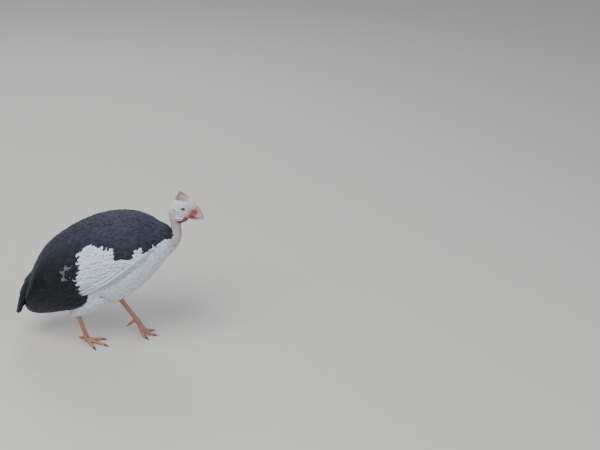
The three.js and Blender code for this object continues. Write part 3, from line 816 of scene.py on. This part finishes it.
def eye_material(name):
    """A glossy eye: black pupil, dark brown iris and a black rim."""
    made, tree, shader = new_material(name, {"Roughness": 0.04, "Coat Weight": 1.0, "Coat Roughness": 0.02})
    tree.links.new(ramp(tree, attribute(tree, "ring"), *EYE_RINGS), shader.inputs["Base Color"])
    return made


# Sizes and colours that a user would change
def colour_property(name, description, value):
    return bpy.props.FloatVectorProperty(
        name=name, description=description, subtype="COLOR", size=3, min=0, max=1, default=value
    )


def length_property(name, description, value):
    return bpy.props.FloatProperty(name=name, description=description, default=value, unit="LENGTH")


class FowlColours(bpy.types.PropertyGroup):
    """Colours of the bird"""

    back: colour_property("Back", "Slate navy of the back, wings and tail", (0.024, 0.026, 0.042))
    breast: colour_property("Breast", "Cold white of the breast and flanks", (0.74, 0.81, 0.91))
    neck: colour_property("Neck", "Pinkish white of the neck", (0.62, 0.55, 0.58))
    face: colour_property("Face", "Bluish white bare skin of the face", (0.60, 0.62, 0.66))
    face_shade: colour_property("Face shade", "Shade in the folds of the face", (0.36, 0.34, 0.37))
    cere: colour_property("Cere", "Red skin at the base of the bill", (0.40, 0.10, 0.11))
    # The wattles' red is darkened to a deep maroon: partly their own colour, partly painted shade under the jaw.
    wattle: colour_property("Wattle", "Dark red of the wattles", (0.085, 0.010, 0.016))
    horn: colour_property("Casque", "Brown horn of the casque", (0.34, 0.22, 0.18))
    bill: colour_property("Bill", "Horn of the bill", (0.55, 0.37, 0.35))
    leg: colour_property("Legs", "Scaly skin of the legs", (0.37, 0.17, 0.11))
    claw: colour_property("Claws", "Horn of the claws", (0.10, 0.07, 0.055))


class FowlSizes(bpy.types.PropertyGroup):
    """Sizes of the coat"""

    coat: length_property("Coat depth", "How far the skin lies under the outline", 0.0042)
    body_feather: length_property("Body feather", "Length of a feather of the back", 0.024)
    neck_feather: length_property("Neck feather", "Length of a feather of the neck", 0.0068)
    spacing: length_property("Feather spacing", "Distance between feather roots", 0.0052)


def colours():
    return bpy.context.scene.fowl_colours


def sizes():
    return bpy.context.scene.fowl_sizes



def finish_piece(made, nodes=()):
    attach(made, "root")
    if nodes:
        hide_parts(*nodes)
    return made


# Pieces
def straight(start, end, shares):
    start, end = np.array(start, float), np.array(end, float)
    return [start + (end - start) * s for s in shares]


# Places from the knee to the hock, and the thigh's radius there
THIGH_SHARES = (0, 0.3, 0.55, 0.8, 0.95, 1.06)
THIGH_RADII = (30, 28, 24, 18, 13.5, 9)
THIGH_SKIN_SHARES = (0.05, 0.3, 0.55, 0.8, 0.95, 1.02)
THIGH_COAT = 4


THROAT_START = 13.6
THROAT_DEPTH = 1.0
TRUNK_VOXEL = 2.2
HEAD_VOXEL = 0.55
FOOT_VOXEL = 0.5
FURROW_DEPTH = 0.75
FOLD_DEPTH = 0.16
WRINKLE_DEPTH = 0.05

# Furrows of the face in the head's frame: behind the jowl, under the chin, and from the eye back to the ear
FACE_CREASES = (
    ((-12, 13.2, -9), (-8, 14.3, -14.5), (-1, 14.6, -16.5), (6, 13, -15)),
    ((-3, 15.6, -5), (1, 16.2, -8.5), (6, 15.2, -9.5)),
    ((-14, 12.5, 5), (-13.5, 13.2, 0), (-14, 12.2, -6)),
    ((10, 13.4, 3), (13, 12.4, -1), (13.5, 11.6, -6)),
)


class FOWL_OT_skin(bpy.types.Operator):
    """Build the one skin of the body, neck, thighs and head"""

    bl_idname = "fowl.skin"
    bl_label = "Skin"

    def execute(self, context):
        depth = sizes().coat * MM
        places = np.linspace(0.15, LAST_STATION - 0.1, 90)
        inset = np.interp(places, [0, 11, 13.5, 17], [depth, depth, 1.6, 0.9])
        rings, _ = body_point(places[:, None], full_turn(72)[None, :], -inset[:, None])
        trunk = [loft("trunk", rings)]
        for leg in LEGS.values():
            line = straight(leg["knee"], leg["hock"], THIGH_SKIN_SHARES)
            radii = [r - THIGH_COAT for r in THIGH_RADII]
            trunk.append(loft("thigh", tube_rings(line, radii, 24, 1.1)))
        body = fuse(trunk, "trunk", TRUNK_VOXEL, 10)
        skin = join([body, self.head()], "skin")
        set_material(skin, skin_material("skin"))
        self.mark(skin)
        finish_piece(skin, ("torso", "neck", "thigh_left", "thigh_right", "head"))
        return {"FINISHED"}

    def head(self):
        """The bare head and throat, with brows, jowls, ears, lids, folds and furrows."""
        pieces = [loft("skull", in_head(oval_rings(HEAD_STATIONS, 64, 48)))]
        for side in (-1, 1):
            for centre, radii in HEAD_LUMPS:
                pieces.append(loft("lump", in_head(ball_rings(mirrored(centre, side), radii, 32))))
            pieces.append(self.lids(side))
        places = np.linspace(THROAT_START, LAST_STATION - 0.05, 30)
        rings, _ = body_point(places[:, None], full_turn(64)[None, :], -THROAT_DEPTH)
        pieces.append(loft("throat", rings))
        head = fuse(pieces, "head_skin", HEAD_VOXEL, 5)
        points = bird_points(head)
        local = head_places(points)
        rng = np.random.default_rng(5)
        wave = np.zeros(len(points))
        for _ in range(10):
            direction = rng.normal(size=3) * 0.75
            wave += np.sin(local @ direction + rng.random() * 6.3)
        away = np.hypot(local[:, 0] - EYE[0], local[:, 2] - EYE[2])
        folds = np.sin(local[:, 2] * 1.5 + np.sin(local[:, 0] * 0.35) * 1.6) * np.clip((-local[:, 2]) / 12, 0, 1)
        hollow, crease = np.zeros(len(points)), np.zeros(len(points))
        for side in (-1, 1):
            gap = np.linalg.norm(local - mirrored((EAR[0], EAR[1] + 0.6, EAR[2]), side), axis=-1)
            hollow += np.exp(-((gap / 2.0) ** 2)) * 2.2
            for line in FACE_CREASES:
                line = spline(np.array(line, float), np.linspace(0, 1, 40))[:, ::2]
                gap = np.sqrt(((local[:, None, ::2] - line[None]) ** 2).sum(-1)).min(1)
                crease = np.maximum(crease, np.exp(-((gap / 0.85) ** 2)) * (local[:, 1] * side > 6))
        normals = np.zeros(len(points) * 3)
        head.data.vertices.foreach_get("normal", normals)
        # Painted shade in the furrows of the face and in the ear hollows.
        paint(head, "crease", np.clip(0.5 * crease + 0.5 * hollow, 0, 1))
        move = WRINKLE_DEPTH * wave * (away > 9) + FOLD_DEPTH * folds - hollow - FURROW_DEPTH * crease
        set_points(head, points + normals.reshape(-1, 3) * move[:, None])
        return head

    def lids(self, side):
        """A pair of lids round one eye, thickest at their rims."""
        turns = full_turn(64)
        eye = mirrored(EYE, side)
        rings = []
        for step in np.linspace(0, 1, 12):
            opening = np.radians(47 - 15 * np.abs(np.sin(turns)) ** 1.5 + 4 * np.cos(turns))
            polar = opening + (np.radians(96) - opening) * step
            radius = EYE_RADIUS + 0.35 + 0.95 * math.sin(math.pi * min(step * 1.6 + 0.22, 1)) - 0.3 * step
            x = EYE[0] + radius * np.sin(polar) * np.cos(turns) * 1.12
            z = EYE[2] + radius * np.sin(polar) * np.sin(turns)
            y = side * (EYE[1] + radius * np.cos(polar))
            rings.append(np.stack([x, np.broadcast_to(y, x.shape), z], -1))
        inner = [eye + (ring - eye) * (EYE_RADIUS - 1.2) / (EYE_RADIUS + 0.6) for ring in rings[::-1]]
        rings = np.array(rings + inner + [rings[0]])
        faces = loft_faces(*rings.shape[:2])[:-2]
        return outward(make_object("lids", in_head(rings.reshape(-1, 3)), faces), weld=True)

    def mark(self, skin):
        """Paints the red of the cere, the horny rim of the casque and the marking of the coat."""
        points = bird_points(skin)
        local = head_places(points)
        red = np.clip((local[:, 0] - 13) / 8, 0, 1) * np.clip((21 - local[:, 2]) / 9, 0, 1)
        red = np.maximum(red, np.clip((local[:, 0] - 8) / 5, 0, 1) * np.clip((-4 - local[:, 2]) / 4, 0, 1) * 0.8)
        paint(skin, "red", red)
        rim = np.clip((local[:, 2] - 20.5) / 4, 0, 1) * np.clip((2 - local[:, 0]) / 12, 0, 1)
        paint(skin, "horny", np.clip(rim * 1.3, 0, 1) * (local[:, 2] > 0))
        paint(skin, "coat", np.clip((COAT_TOP - points[:, 2]) / 10, 0, 1))
        grid_station = np.linspace(0.1, LAST_STATION, 120)
        grid_angle = np.radians(np.arange(-180, 180, 6))
        station, angle = (g.ravel() for g in np.meshgrid(grid_station, grid_angle, indexing="ij"))
        marks = is_white(station, angle)
        tree = KDTree(len(marks))
        for k, place in enumerate(body_skin_point(station, angle)):
            tree.insert(place, k)
        tree.balance()
        white = np.array([marks[tree.find(point)[1]] if point[2] < NECK_TOP else 1 for point in points])
        white[(points[:, 2] < 120) & (np.abs(points[:, 1]) < 60) & (points[:, 0] > -45)] = 1
        paint(skin, "white", white)


class FOWL_OT_casque(bpy.types.Operator):
    """Build the horn casque on the crown"""

    bl_idname = "fowl.casque"
    bl_label = "Casque"

    def execute(self, context):
        line = spline(np.array(CASQUE_STATIONS, float), np.linspace(0, 1, 40))
        turn = full_turn(48)
        rings = np.zeros((40, 48, 3))
        rings[..., 0] = line[:, 1:2] + line[:, 2:3] * np.cos(turn)
        rings[..., 1] = line[:, 3:4] * np.sin(turn) * (1 - 0.12 * np.cos(turn))
        rings[..., 2] = line[:, 0:1] + 0.3 * np.sin(line[:, 0:1] * 0.9) * np.cos(turn * 3)
        made = loft("casque_horn", in_head(rings))
        x, z = rings[..., 0].ravel(), rings[..., 2].ravel()
        paint(made, "fore", np.clip((x + 6) / 16, 0, 1) * np.clip((36 - z) / 3, 0, 1))
        paint(made, "low", np.clip((27 - z) / 8, 0, 1))
        made.data.materials.append(casque_material("casque_horn"))
        finish_piece(made, ("casque",))
        return {"FINISHED"}


def bill_rings(rows, sides, count, way):
    """Rings of one half of the bill: domed outside, nearly flat along the mouth, rounded at the tip."""
    share = 1 - (1 - np.linspace(0, 1, count)) ** 1.3
    top, bottom = upright_lines(rows, share)
    blunt = np.sqrt(np.clip((1 - share) / 0.07, 0.003, 1))
    turn = full_turn(sides, 0.5)
    rings = np.zeros((count, sides, 3))
    edge, dome = (bottom[:, 2], top[:, 2]) if way > 0 else (top[:, 2], bottom[:, 2])
    middle = edge + (dome - edge) * 0.18
    outer = (dome - middle)[:, None] * np.clip(np.cos(turn), 0, 1) ** 0.9
    inner = (edge - middle)[:, None] * np.clip(-np.cos(turn), 0, 1) ** 0.45
    rings[..., 0] = top[:, 0:1]
    rings[..., 1] = (top[:, 1] * blunt)[:, None] * np.sign(np.sin(turn)) * np.abs(np.sin(turn)) ** 0.8
    rings[..., 2] = middle[:, None] + (outer + inner) * blunt[:, None]
    return rings


class FOWL_OT_bill(bpy.types.Operator):
    """Build both halves of the bill, with the nostrils and the line of the mouth"""

    bl_idname = "fowl.bill"
    bl_label = "Bill"

    def execute(self, context):
        material = bill_material("bill_horn")
        for half, rows, way in (("upper", UPPER_BILL, 1), ("lower", LOWER_BILL, -1)):
            rings = bill_rings(rows, 96, 90, way)
            hollow = np.zeros(rings.shape[:2])
            if way > 0:
                for side in (-1, 1):
                    gap = (rings - mirrored(NOSTRIL, side)) @ NOSTRIL_SLANT.T
                    slit = np.exp(-(((gap / NOSTRIL_SLIT) ** 2).sum(-1)) ** 2)
                    lip = np.exp(-(((gap - NOSTRIL_LIP_RISE) / NOSTRIL_LIP) ** 2).sum(-1))
                    rings[..., 1] += side * (0.6 * lip - 2.6 * slit)
                    hollow += slit
            made = loft(f"{half}_bill", in_head(rings), material)
            x, z = rings[..., 0].ravel(), rings[..., 2].ravel()
            near = np.exp(-(((x - 24) / 10) ** 2) - ((z - 9) / 10) ** 2)
            # On the upper bill, the red of the cere round the nostril; on the lower bill, a dark red over all but its
            # tip: partly the red at its base, partly painted shade under the head.
            paint(made, "red", np.clip(near * 1.7, 0, 1) if way > 0 else np.clip((45 - x) / 14, 0.3, 1))
            paint(made, "hollow", hollow.ravel())
            paint(made, "tip", np.clip((x - 36) / 10, 0, 1))
            finish_piece(made, (f"bill_{half}",))
        return {"FINISHED"}


class FOWL_OT_eyes(bpy.types.Operator):
    """Build the two eyes"""

    bl_idname = "fowl.eyes"
    bl_label = "Eyes"

    def execute(self, context):
        for name, side in SIDES:
            rings = ball_rings((0, 0, 0), (EYE_RADIUS,) * 3, 48)
            turned = np.stack([rings[..., 1], side * rings[..., 0], rings[..., 2]], -1)
            bulge = np.clip(turned[..., 1] * side / EYE_RADIUS, 0, 1) ** 6 * 0.35
            turned[..., 1] += side * bulge
            made = loft(f"eyeball_{name}", in_head(turned + mirrored(EYE, side)))
            away = np.degrees(np.arccos(np.clip(rings[..., 0].ravel() / EYE_RADIUS, -1, 1))) / 60
            paint(made, "ring", np.clip(away, 0, 1))
            made.data.materials.append(eye_material(f"eye_gloss_{name}"))
            finish_piece(made, (f"eye_{name}",))
        return {"FINISHED"}


class FOWL_OT_wattles(bpy.types.Operator):
    """Build the two wattles at the corners of the mouth"""

    bl_idname = "fowl.wattles"
    bl_label = "Wattles"

    def execute(self, context):
        # The wattles are coloured a very dark red, partly painted shade under the jaw.
        red = colours().wattle
        material = plain_material("wattle_skin", tinted(red, 0.4), tinted(red, 1.6), 420, 0.42, 0.6, 0.0005)
        for name, side in SIDES:
            root, tip = mirrored(WATTLE_ROOT, side), mirrored(WATTLE_TIP, side)
            share = np.linspace(0, 1, 34)[:, None]
            turn = full_turn(48)
            ends = np.maximum(1 - (2 * share - 1) ** 6, 0.004) ** 0.5
            centre = root + (tip - root) * share
            centre[:, 1:2] += side * WATTLE_BOW * np.sin(np.pi * share)
            reach = blend_list(WATTLE_HALF_WIDTHS, share) * ends * np.cos(turn)
            rim = 1 - 0.4 * np.abs(np.cos(turn)) ** 4
            thick = (0.35 + 1.5 * (1 - share) ** 0.8) * ends * rim * np.sin(turn)
            fold = side * (0.04 * reach**2 + 0.55 * np.sin(0.9 * reach + 2.5 * share) + 0.22 * np.sin(share * 19))
            rings = centre[:, None, :] + np.stack([reach * 0.94, thick - fold, reach * 0.34], -1)
            made = loft(f"wattle_lobe_{name}", in_head(rings), material)
            finish_piece(made, (f"wattle_{name}",))
        return {"FINISHED"}


# Bands of small feathers: name, first and last place along the body, and shares of the usual size and gap
BODY_BANDS = (
    ("rump", 0.9, 3.4, 1.0, 1.0),
    ("hind_body", 3.4, 5.6, 1.0, 1.0),
    ("mid_body", 5.6, 7.8, 0.96, 1.0),
    ("fore_body", 7.8, 10.0, 0.86, 0.9),
    ("shoulders", 10.0, 11.6, 0.66, 0.72),
    ("neck_base", 11.6, 12.9, 0.46, 0.5),
)
BODY_FEATHER_HALF = 6.2


class FOWL_OT_body_feathers(bpy.types.Operator):
    """Lay the small feathers of the back, flanks and breast"""

    bl_idname = "fowl.body_feathers"
    bl_label = "Body feathers"

    def execute(self, context):
        rng = np.random.default_rng(11)
        spacing = sizes().spacing * MM * 1
        length, depth = sizes().body_feather * MM, sizes().coat * MM
        for name, low, high, scale, gap in BODY_BANDS:
            roots = scatter_roots(low, high, spacing * gap, rng)
            lifts = [-depth, -1.4 * scale, -0.7 * scale, -0.3]
            half = BODY_FEATHER_HALF * scale
            made = body_feathers(
                f"feathers_{name}", roots, length * scale, half, lifts, coat_material(), rng, droop=0.06
            )
            finish_piece(made)
        return {"FINISHED"}


# Places along the body where the neck's feathers begin, are of full size and end, and their size there
NECK_PLACES = (12.4, 13.6, 16.3)
NECK_SCALE = (1.5, 1.0, 0.6)
NECK_LIFTS = (-1.3, -0.75, -0.45, -0.3)
NECK_SPACING = 1.35
NECK_FEATHER_HALF = 0.8


class FOWL_OT_neck_feathers(bpy.types.Operator):
    """Lay the short fine feathers of the neck"""

    bl_idname = "fowl.neck_feathers"
    bl_label = "Neck feathers"

    def execute(self, context):
        rng = np.random.default_rng(12)
        material = feather_material("neck_feathers", colours().back, colours().neck, (0.9, 0.85, 0.9))
        length = sizes().neck_feather * MM
        roots = scatter_roots(NECK_PLACES[0], NECK_PLACES[-1], NECK_SPACING * (1), rng)
        scale = np.interp(roots[:, 0], NECK_PLACES, NECK_SCALE)
        half = NECK_FEATHER_HALF * scale
        made = body_feathers(
            "feathers_neck", roots, length * scale, half, NECK_LIFTS, material, rng, rows=5, thick=0.12
        )
        blush = np.clip((roots[:, 0] - 14.3) / 1.6, 0, 1) * (0.35 + 0.4 * (np.abs(roots[:, 1]) > 1.9))
        paint(made, "blush", np.repeat(blush, len(made.data.vertices) // len(roots)))
        finish_piece(made)
        return {"FINISHED"}


THIGH_FEATHERS = 1300
THIGH_FEATHER = 15
THIGH_FEATHER_HALF = 3.2


class FOWL_OT_thigh_feathers(bpy.types.Operator):
    """Lay the white feathers of the thighs"""

    bl_idname = "fowl.thigh_feathers"
    bl_label = "Thigh feathers"

    def execute(self, context):
        rng = np.random.default_rng(13)
        count = THIGH_FEATHERS
        steps = np.array(VANE_SHARES)
        for name, leg in LEGS.items():
            share = -0.15 + 1.15 * rng.random(count) ** 0.85
            turn = 2 * np.pi * rng.random(count)
            reach = (THIGH_FEATHER * (1 + 0.2 * rng.normal(size=count)))[:, None]
            knee, hock = straight(leg["knee"], leg["hock"], (0, 1))
            span = np.linalg.norm(hock - knee)
            axis = unit(hock - knee)
            level = unit(np.cross(axis, [0.0, 1.0, 0.0]))
            other = np.cross(axis, level)
            place = share[:, None] + reach * steps / span
            radius = np.interp(place, THIGH_SHARES, THIGH_RADII)
            past = (place - THIGH_SHARES[-1]) * span
            radius = np.where(past > 0, THIGH_RADII[-1] - past * 0.35, radius)
            lift = np.interp(steps, [0, 0.3, 1], [-3.5, -1.5, -0.4])[None, :]
            out = np.cos(turn)[:, None, None] * level + np.sin(turn)[:, None, None] * other
            points = knee + axis * (place * span)[..., None] + out * (radius + lift)[..., None]
            points[..., 0] -= 0.12 * reach * steps**2
            normals = np.broadcast_to(out, points.shape)
            values = {"white": np.ones(count), "shade": rng.random(count), "dark": np.zeros(count)}
            strip = 0.93 if name == "right" else 0.96
            roots = np.stack([strip + 0.02 * turn / 6.3, 0.05 + 0.8 * share], -1)
            half = np.full(count, THIGH_FEATHER_HALF)
            made = feathers(
                f"feathers_thigh_{name}", points, normals, half, 0.25, 0.2, values, roots, coat_material()
            )
            finish_piece(made)
        return {"FINISHED"}


# Tiers of the folded wing: how many, half width, lifts at root and tip, tilt, places of the roots and of the tips
WING_TIERS = (
    (4, 8.5, (1.6, 2.0), 0.6, ((0.5, 0.74), (0.57, 0.46)), ((0.97, 0.8), (1.0, 0.4))),
    (18, 7.4, (2.2, 3.7), 0.42, ((0.12, 0.88), (0.5, 0.1)), ((0.57, 0.99), (0.97, 0.24))),
    (16, 6.8, (3.2, 4.8), 0.38, ((0.09, 0.78), (0.42, 0.08)), ((0.42, 0.95), (0.8, 0.2))),
)
# The same for one half of the tail, the last two under it
TAIL_TIERS = (
    (7, 7.2, (1.0, 2.0), 0.8, ((0.1, 0.07), (0.14, 0.8)), ((1.0, 0.07), (0.88, 1.0))),
    (6, 6.2, (2.2, 4.0), 0.7, ((0.02, 0.08), (0.06, 0.72)), ((0.66, 0.08), (0.56, 0.92))),
    (6, 5.6, (3.0, 5.6), 0.6, ((-0.04, 0.08), (0.0, 0.66)), ((0.42, 0.1), (0.36, 0.86))),
    (6, 6.6, (-2.5, -7.5), 0.3, ((0.34, 0.08), (0.34, 0.7)), ((0.9, 0.06), (0.8, 0.8))),
    (6, 6.6, (-6.0, -15.0), 0.3, ((0.38, 0.08), (0.38, 0.7)), ((0.84, 0.06), (0.74, 0.8))),
)


def between(ends, share):
    return np.array(ends[0]) + (np.array(ends[1]) - np.array(ends[0])) * share


def vane_places(root, tip, rows):
    return root[:, None, :] + (tip - root)[:, None, :] * vane_shares(rows)[None, :, None]


def tier_paths(surface, side, tier, rows, rng):
    """Paths, tilted normals and roots of one tier of vanes, and their places before their tips stray."""
    count, half, lifts, tilt, roots, tips = tier
    share = np.linspace(0, 1, count)[:, None]
    root, tip = between(roots, share), between(tips, share)
    even = vane_places(root, tip, rows)
    tip[:, 0] += 0.006 * rng.normal(size=count)
    where = vane_places(root, tip, rows)
    lift = lifts[0] + (lifts[1] - lifts[0]) * vane_shares(rows) ** 0.7
    lift = lift[None, :] + 0.05 * rng.normal(size=(count, 1))
    points, normals = surface(side, where[..., 0], where[..., 1], lift)
    across = unit(np.cross(normals, np.gradient(points, axis=1)))
    return points, unit(normals + across * (side * tilt / half)), root, even


class FOWL_OT_wings(bpy.types.Operator):
    """Lay the flight feathers and great coverts of the folded wings"""

    bl_idname = "fowl.wings"
    bl_label = "Wings"

    def execute(self, context):
        rng = np.random.default_rng(14)
        for name, side in SIDES:
            tiers = []
            for tier in WING_TIERS:
                points, normals, root, even = tier_paths(wing_point, side, tier, 14, rng)
                count = len(root)
                station, angle = wing_place(root[:, 0], root[:, 1])
                seen_station, seen_angle = wing_place(even[..., 0], even[..., 1])
                seen_station = seen_station + 0.12 * rng.normal(size=(count, 1))
                values = {
                    "white": is_white(seen_station, seen_angle),
                    "shade": 0.25 + 0.5 * rng.random(count),
                    "dark": darkness_and_shade(seen_station, seen_angle),
                }
                roots = unwrap_place(station, side * angle)
                half = np.full(count, tier[1])
                tiers.append(
                    feathers("vanes", points, normals, half, 0.38, 0.02, values, roots, coat_material(), flight=True)
                )
            finish_piece(join(tiers, f"flight_feathers_{name}"), (f"wing_{name}",))
        return {"FINISHED"}


class FOWL_OT_tail(bpy.types.Operator):
    """Lay the tail feathers and their coverts"""

    bl_idname = "fowl.tail"
    bl_label = "Tail"

    def execute(self, context):
        rng = np.random.default_rng(15)
        tiers = []
        for side in (-1, 1):
            for tier in TAIL_TIERS:
                points, normals, root, _ = tier_paths(tail_point, side, tier, 12, rng)
                count = len(root)
                # The tail is drawn near black by a dark value of 0.85: partly its own colour, partly painted shade
                # under the rump.
                values = {"white": np.zeros(count), "shade": 0.4 * rng.random(count), "dark": np.full(count, 0.85)}
                roots = np.stack([0.5 + 0.3 * side * root[:, 1], 0.005 + 0.01 * root[:, 0]], -1)
                half = np.full(count, tier[1])
                tiers.append(
                    feathers("vanes", points, normals, half, 0.6, 0.08, values, roots, coat_material(), flight=True)
                )
        finish_piece(join(tiers, "tail_feathers"), ("tail",))
        return {"FINISHED"}


# Places from the hock to the ankle and the shank's radius there
SHANK_RADII = ((-0.05, 5.4), (0, 6.4), (0.06, 6.6), (0.14, 5.2), (0.3, 4.3), (0.6, 4), (0.86, 4.5), (1, 5))
SHANK_GIRTH = 1.14
SCUTES = 17
FOOT_LIFT = 0.05
TOE_RADII = (4.2, 2.9)


def toe_lines(leg):
    x, y, height = leg["ankle"]
    lines = {}

    def from_heading(degrees):
        c, s = math.cos(math.radians(degrees)), math.sin(math.radians(degrees))
        return lambda distance, z: (x + distance * c, y + distance * s, z)

    for name, (turn, length) in TOES.items():
        along = from_heading(leg["yaw"] - leg["side"] * turn)
        reach = MIDDLE_TOE * length
        if leg["planted"]:
            lines[name] = [
                along(0, height - 2), along(reach * 0.3, 4.2), along(reach * 0.65, 3), along(reach, PAD_HEIGHT),
            ]
        else:
            lines[name] = [
                along(2, height - 3), along(reach * 0.22, height * 0.6), along(reach * 0.42, 8),
                along(reach * 0.6, 3.4), along(reach * 0.8, PAD_HEIGHT),
            ]
    back = from_heading(leg["yaw"] + 180 + leg["side"] * 16)
    drop = [1, 0.5, -4, -6.7] if leg["planted"] else [2, 2.5, -1, -5]
    lines["hind"] = [back(i * HIND_TOE / 3, height + z) for i, z in enumerate(drop)]
    return lines


class FOWL_OT_legs(bpy.types.Operator):
    """Build the scaly shanks and feet and finish the claws"""

    bl_idname = "fowl.legs"
    bl_label = "Legs"

    def execute(self, context):
        scale, horn = colours().leg, colours().claw
        skin = plain_material("leg_skin", tinted(scale, 0.7), tinted(scale, 1.25), 420, 0.5, 0.5)
        claw = plain_material("claw_horn", tinted(horn, 0.6), tinted(horn, 1.6), 200, 0.35)
        for name, leg in LEGS.items():
            shares = np.linspace(-0.05, 1.0, 200)
            radii = np.interp(shares, *np.array(SHANK_RADII).T)
            line = straight(leg["hock"], leg["ankle"], shares)
            step = (shares * SCUTES) % 1
            scutes = 0.965 + 0.06 * step * (1 - step**8)
            made = loft(f"shank_scales_{name}", tube_rings(line, radii * scutes * SHANK_GIRTH, 40), skin)
            finish_piece(made, (f"shank_{name}",))
            x, y, height = leg["ankle"]
            heel = (x, y, height - 3.4 if leg["planted"] else height - 1.5)
            pieces = [loft("heel", ball_rings(heel, (6, 6, 6.2), 32))]
            for line in toe_lines(leg).values():
                places = np.linspace(0, 1, 64)
                points = spline(np.array(line, float), places)
                radii = blend_list(TOE_RADII, places) * (1 + 0.08 * np.cos(places * 6 * math.pi))
                radii = radii * (0.98 + 0.05 * ((places * 13) % 1))
                pieces.append(loft("toe", tube_rings(points, radii, 24)))
            foot = fuse(pieces, f"foot_scales_{name}", FOOT_VOXEL, 3)
            points = bird_points(foot)
            points[:, 2] = np.maximum(points[:, 2], FOOT_LIFT)
            set_points(foot, points)
            set_material(foot, skin)
            finish_piece(foot, (f"foot_{name}",))
        for node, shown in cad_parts.items():
            if node.startswith("claw_"):
                set_material(shown, claw)
        return {"FINISHED"}


# Where the camera stands, in the bird's millimetres, and how it is turned
CAMERA_PLACE = (423.0, -1843.0, 1145.0)
CAMERA_YAW = 89.556
CAMERA_PITCH = 24.808
CAMERA_ROLL = 3.206
CAMERA_LENS = 60.0
CAMERA_SENSOR = 36.0
LIGHTS = (
    # name, place in metres, power in watts, size in metres
    ("key_light", (-0.9, -1.5, 2.4), 88, 2.0),
    ("fill_light", (2.2, -1.6, 1.6), 22, 2.0),
    ("rim_light", (-0.6, 2.0, 2.2), 26, 1.6),
)
LIGHTS_AIM = (0, 0, 0.18)
LIGHT_COLOUR = (0.96, 0.98, 1.0)
FLOOR_HALF = 9000.0
FLOOR_COLOUR = (0.56, 0.53, 0.49, 1)


def camera_axes(yaw, pitch, roll):
    forward = np.array(
        [math.cos(pitch) * math.cos(yaw), math.cos(pitch) * math.sin(yaw), -math.sin(pitch)]
    )
    right = np.array([math.sin(yaw), -math.cos(yaw), 0.0])
    up = np.cross(right, forward)
    return (
        forward,
        right * math.cos(roll) + up * math.sin(roll),
        up * math.cos(roll) - right * math.sin(roll),
    )


class FOWL_OT_stage(bpy.types.Operator):
    """Set the floor, the lights and the camera"""

    bl_idname = "fowl.stage"
    bl_label = "Stage"

    def execute(self, context):
        scene = context.scene
        forward, right, up = camera_axes(*(math.radians(a) for a in (CAMERA_YAW, CAMERA_PITCH, CAMERA_ROLL)))
        data = bpy.data.cameras.new("camera")
        data.sensor_width = CAMERA_SENSOR
        data.lens = CAMERA_LENS
        data.clip_end = 50
        camera = link_object("camera", data)
        turn = Matrix(np.stack([right, up, -forward], 1).tolist()).to_4x4()
        camera.matrix_world = Matrix.Translation(to_frame(CAMERA_PLACE).tolist()) @ turn
        scene.camera = camera

        corners = np.array([[-1, -1, 0], [1, -1, 0], [1, 1, 0], [-1, 1, 0]]) * FLOOR_HALF
        floor = make_object("floor", corners - SHIFT * [1, 1, 0], [(0, 1, 2, 3)])
        material, _, _ = new_material("floor", {"Base Color": FLOOR_COLOUR, "Roughness": 0.85})
        floor.data.materials.append(material)

        for name, at, energy, size in LIGHTS:
            light = bpy.data.lights.new(name, "AREA")
            light.energy = energy
            light.size = size
            light.color = LIGHT_COLOUR
            lamp = link_object(name, light)
            lamp.location = at
            aim = Vector(at) - Vector(LIGHTS_AIM)
            lamp.rotation_euler = aim.to_track_quat("Z", "Y").to_euler()
        world = bpy.data.worlds.new("studio")
        world.use_nodes = True
        sky = world.node_tree.nodes["Background"]
        sky.inputs["Color"].default_value = (0.80, 0.86, 0.95, 1)
        sky.inputs["Strength"].default_value = 0.55
        scene.world = world
        return {"FINISHED"}


class FOWL_PT_panel(bpy.types.Panel):
    """Sizes, colours and pieces of the guinea fowl"""

    bl_idname = "FOWL_PT_panel"
    bl_label = "Guinea fowl"
    bl_space_type = "VIEW_3D"
    bl_region_type = "UI"
    bl_category = "Guinea fowl"

    def draw(self, context):
        column = self.layout.column()
        for group in (context.scene.fowl_sizes, context.scene.fowl_colours):
            for key in group.__annotations__:
                column.prop(group, key)
        for piece in PIECES:
            column.operator(piece.bl_idname)


PIECES = (
    FOWL_OT_skin,
    FOWL_OT_casque,
    FOWL_OT_bill,
    FOWL_OT_eyes,
    FOWL_OT_wattles,
    FOWL_OT_body_feathers,
    FOWL_OT_neck_feathers,
    FOWL_OT_thigh_feathers,
    FOWL_OT_wings,
    FOWL_OT_tail,
    FOWL_OT_legs,
    FOWL_OT_stage,
)


def register():
    for group in (FowlColours, FowlSizes, *PIECES, FOWL_PT_panel):
        bpy.utils.register_class(group)
    bpy.types.Scene.fowl_colours = bpy.props.PointerProperty(type=FowlColours)
    bpy.types.Scene.fowl_sizes = bpy.props.PointerProperty(type=FowlSizes)


def unregister():
    del bpy.types.Scene.fowl_colours
    del bpy.types.Scene.fowl_sizes
    for group in (FOWL_PT_panel, *reversed(PIECES), FowlSizes, FowlColours):
        bpy.utils.unregister_class(group)


def main():
    register()
    bpy.ops.fowl.skin()
    bpy.ops.fowl.casque()
    bpy.ops.fowl.bill()
    bpy.ops.fowl.eyes()
    bpy.ops.fowl.wattles()
    bpy.ops.fowl.body_feathers()
    bpy.ops.fowl.neck_feathers()
    bpy.ops.fowl.thigh_feathers()
    bpy.ops.fowl.wings()
    bpy.ops.fowl.tail()
    bpy.ops.fowl.legs()
    bpy.ops.fowl.stage()


if __name__ == "__main__":
    main()
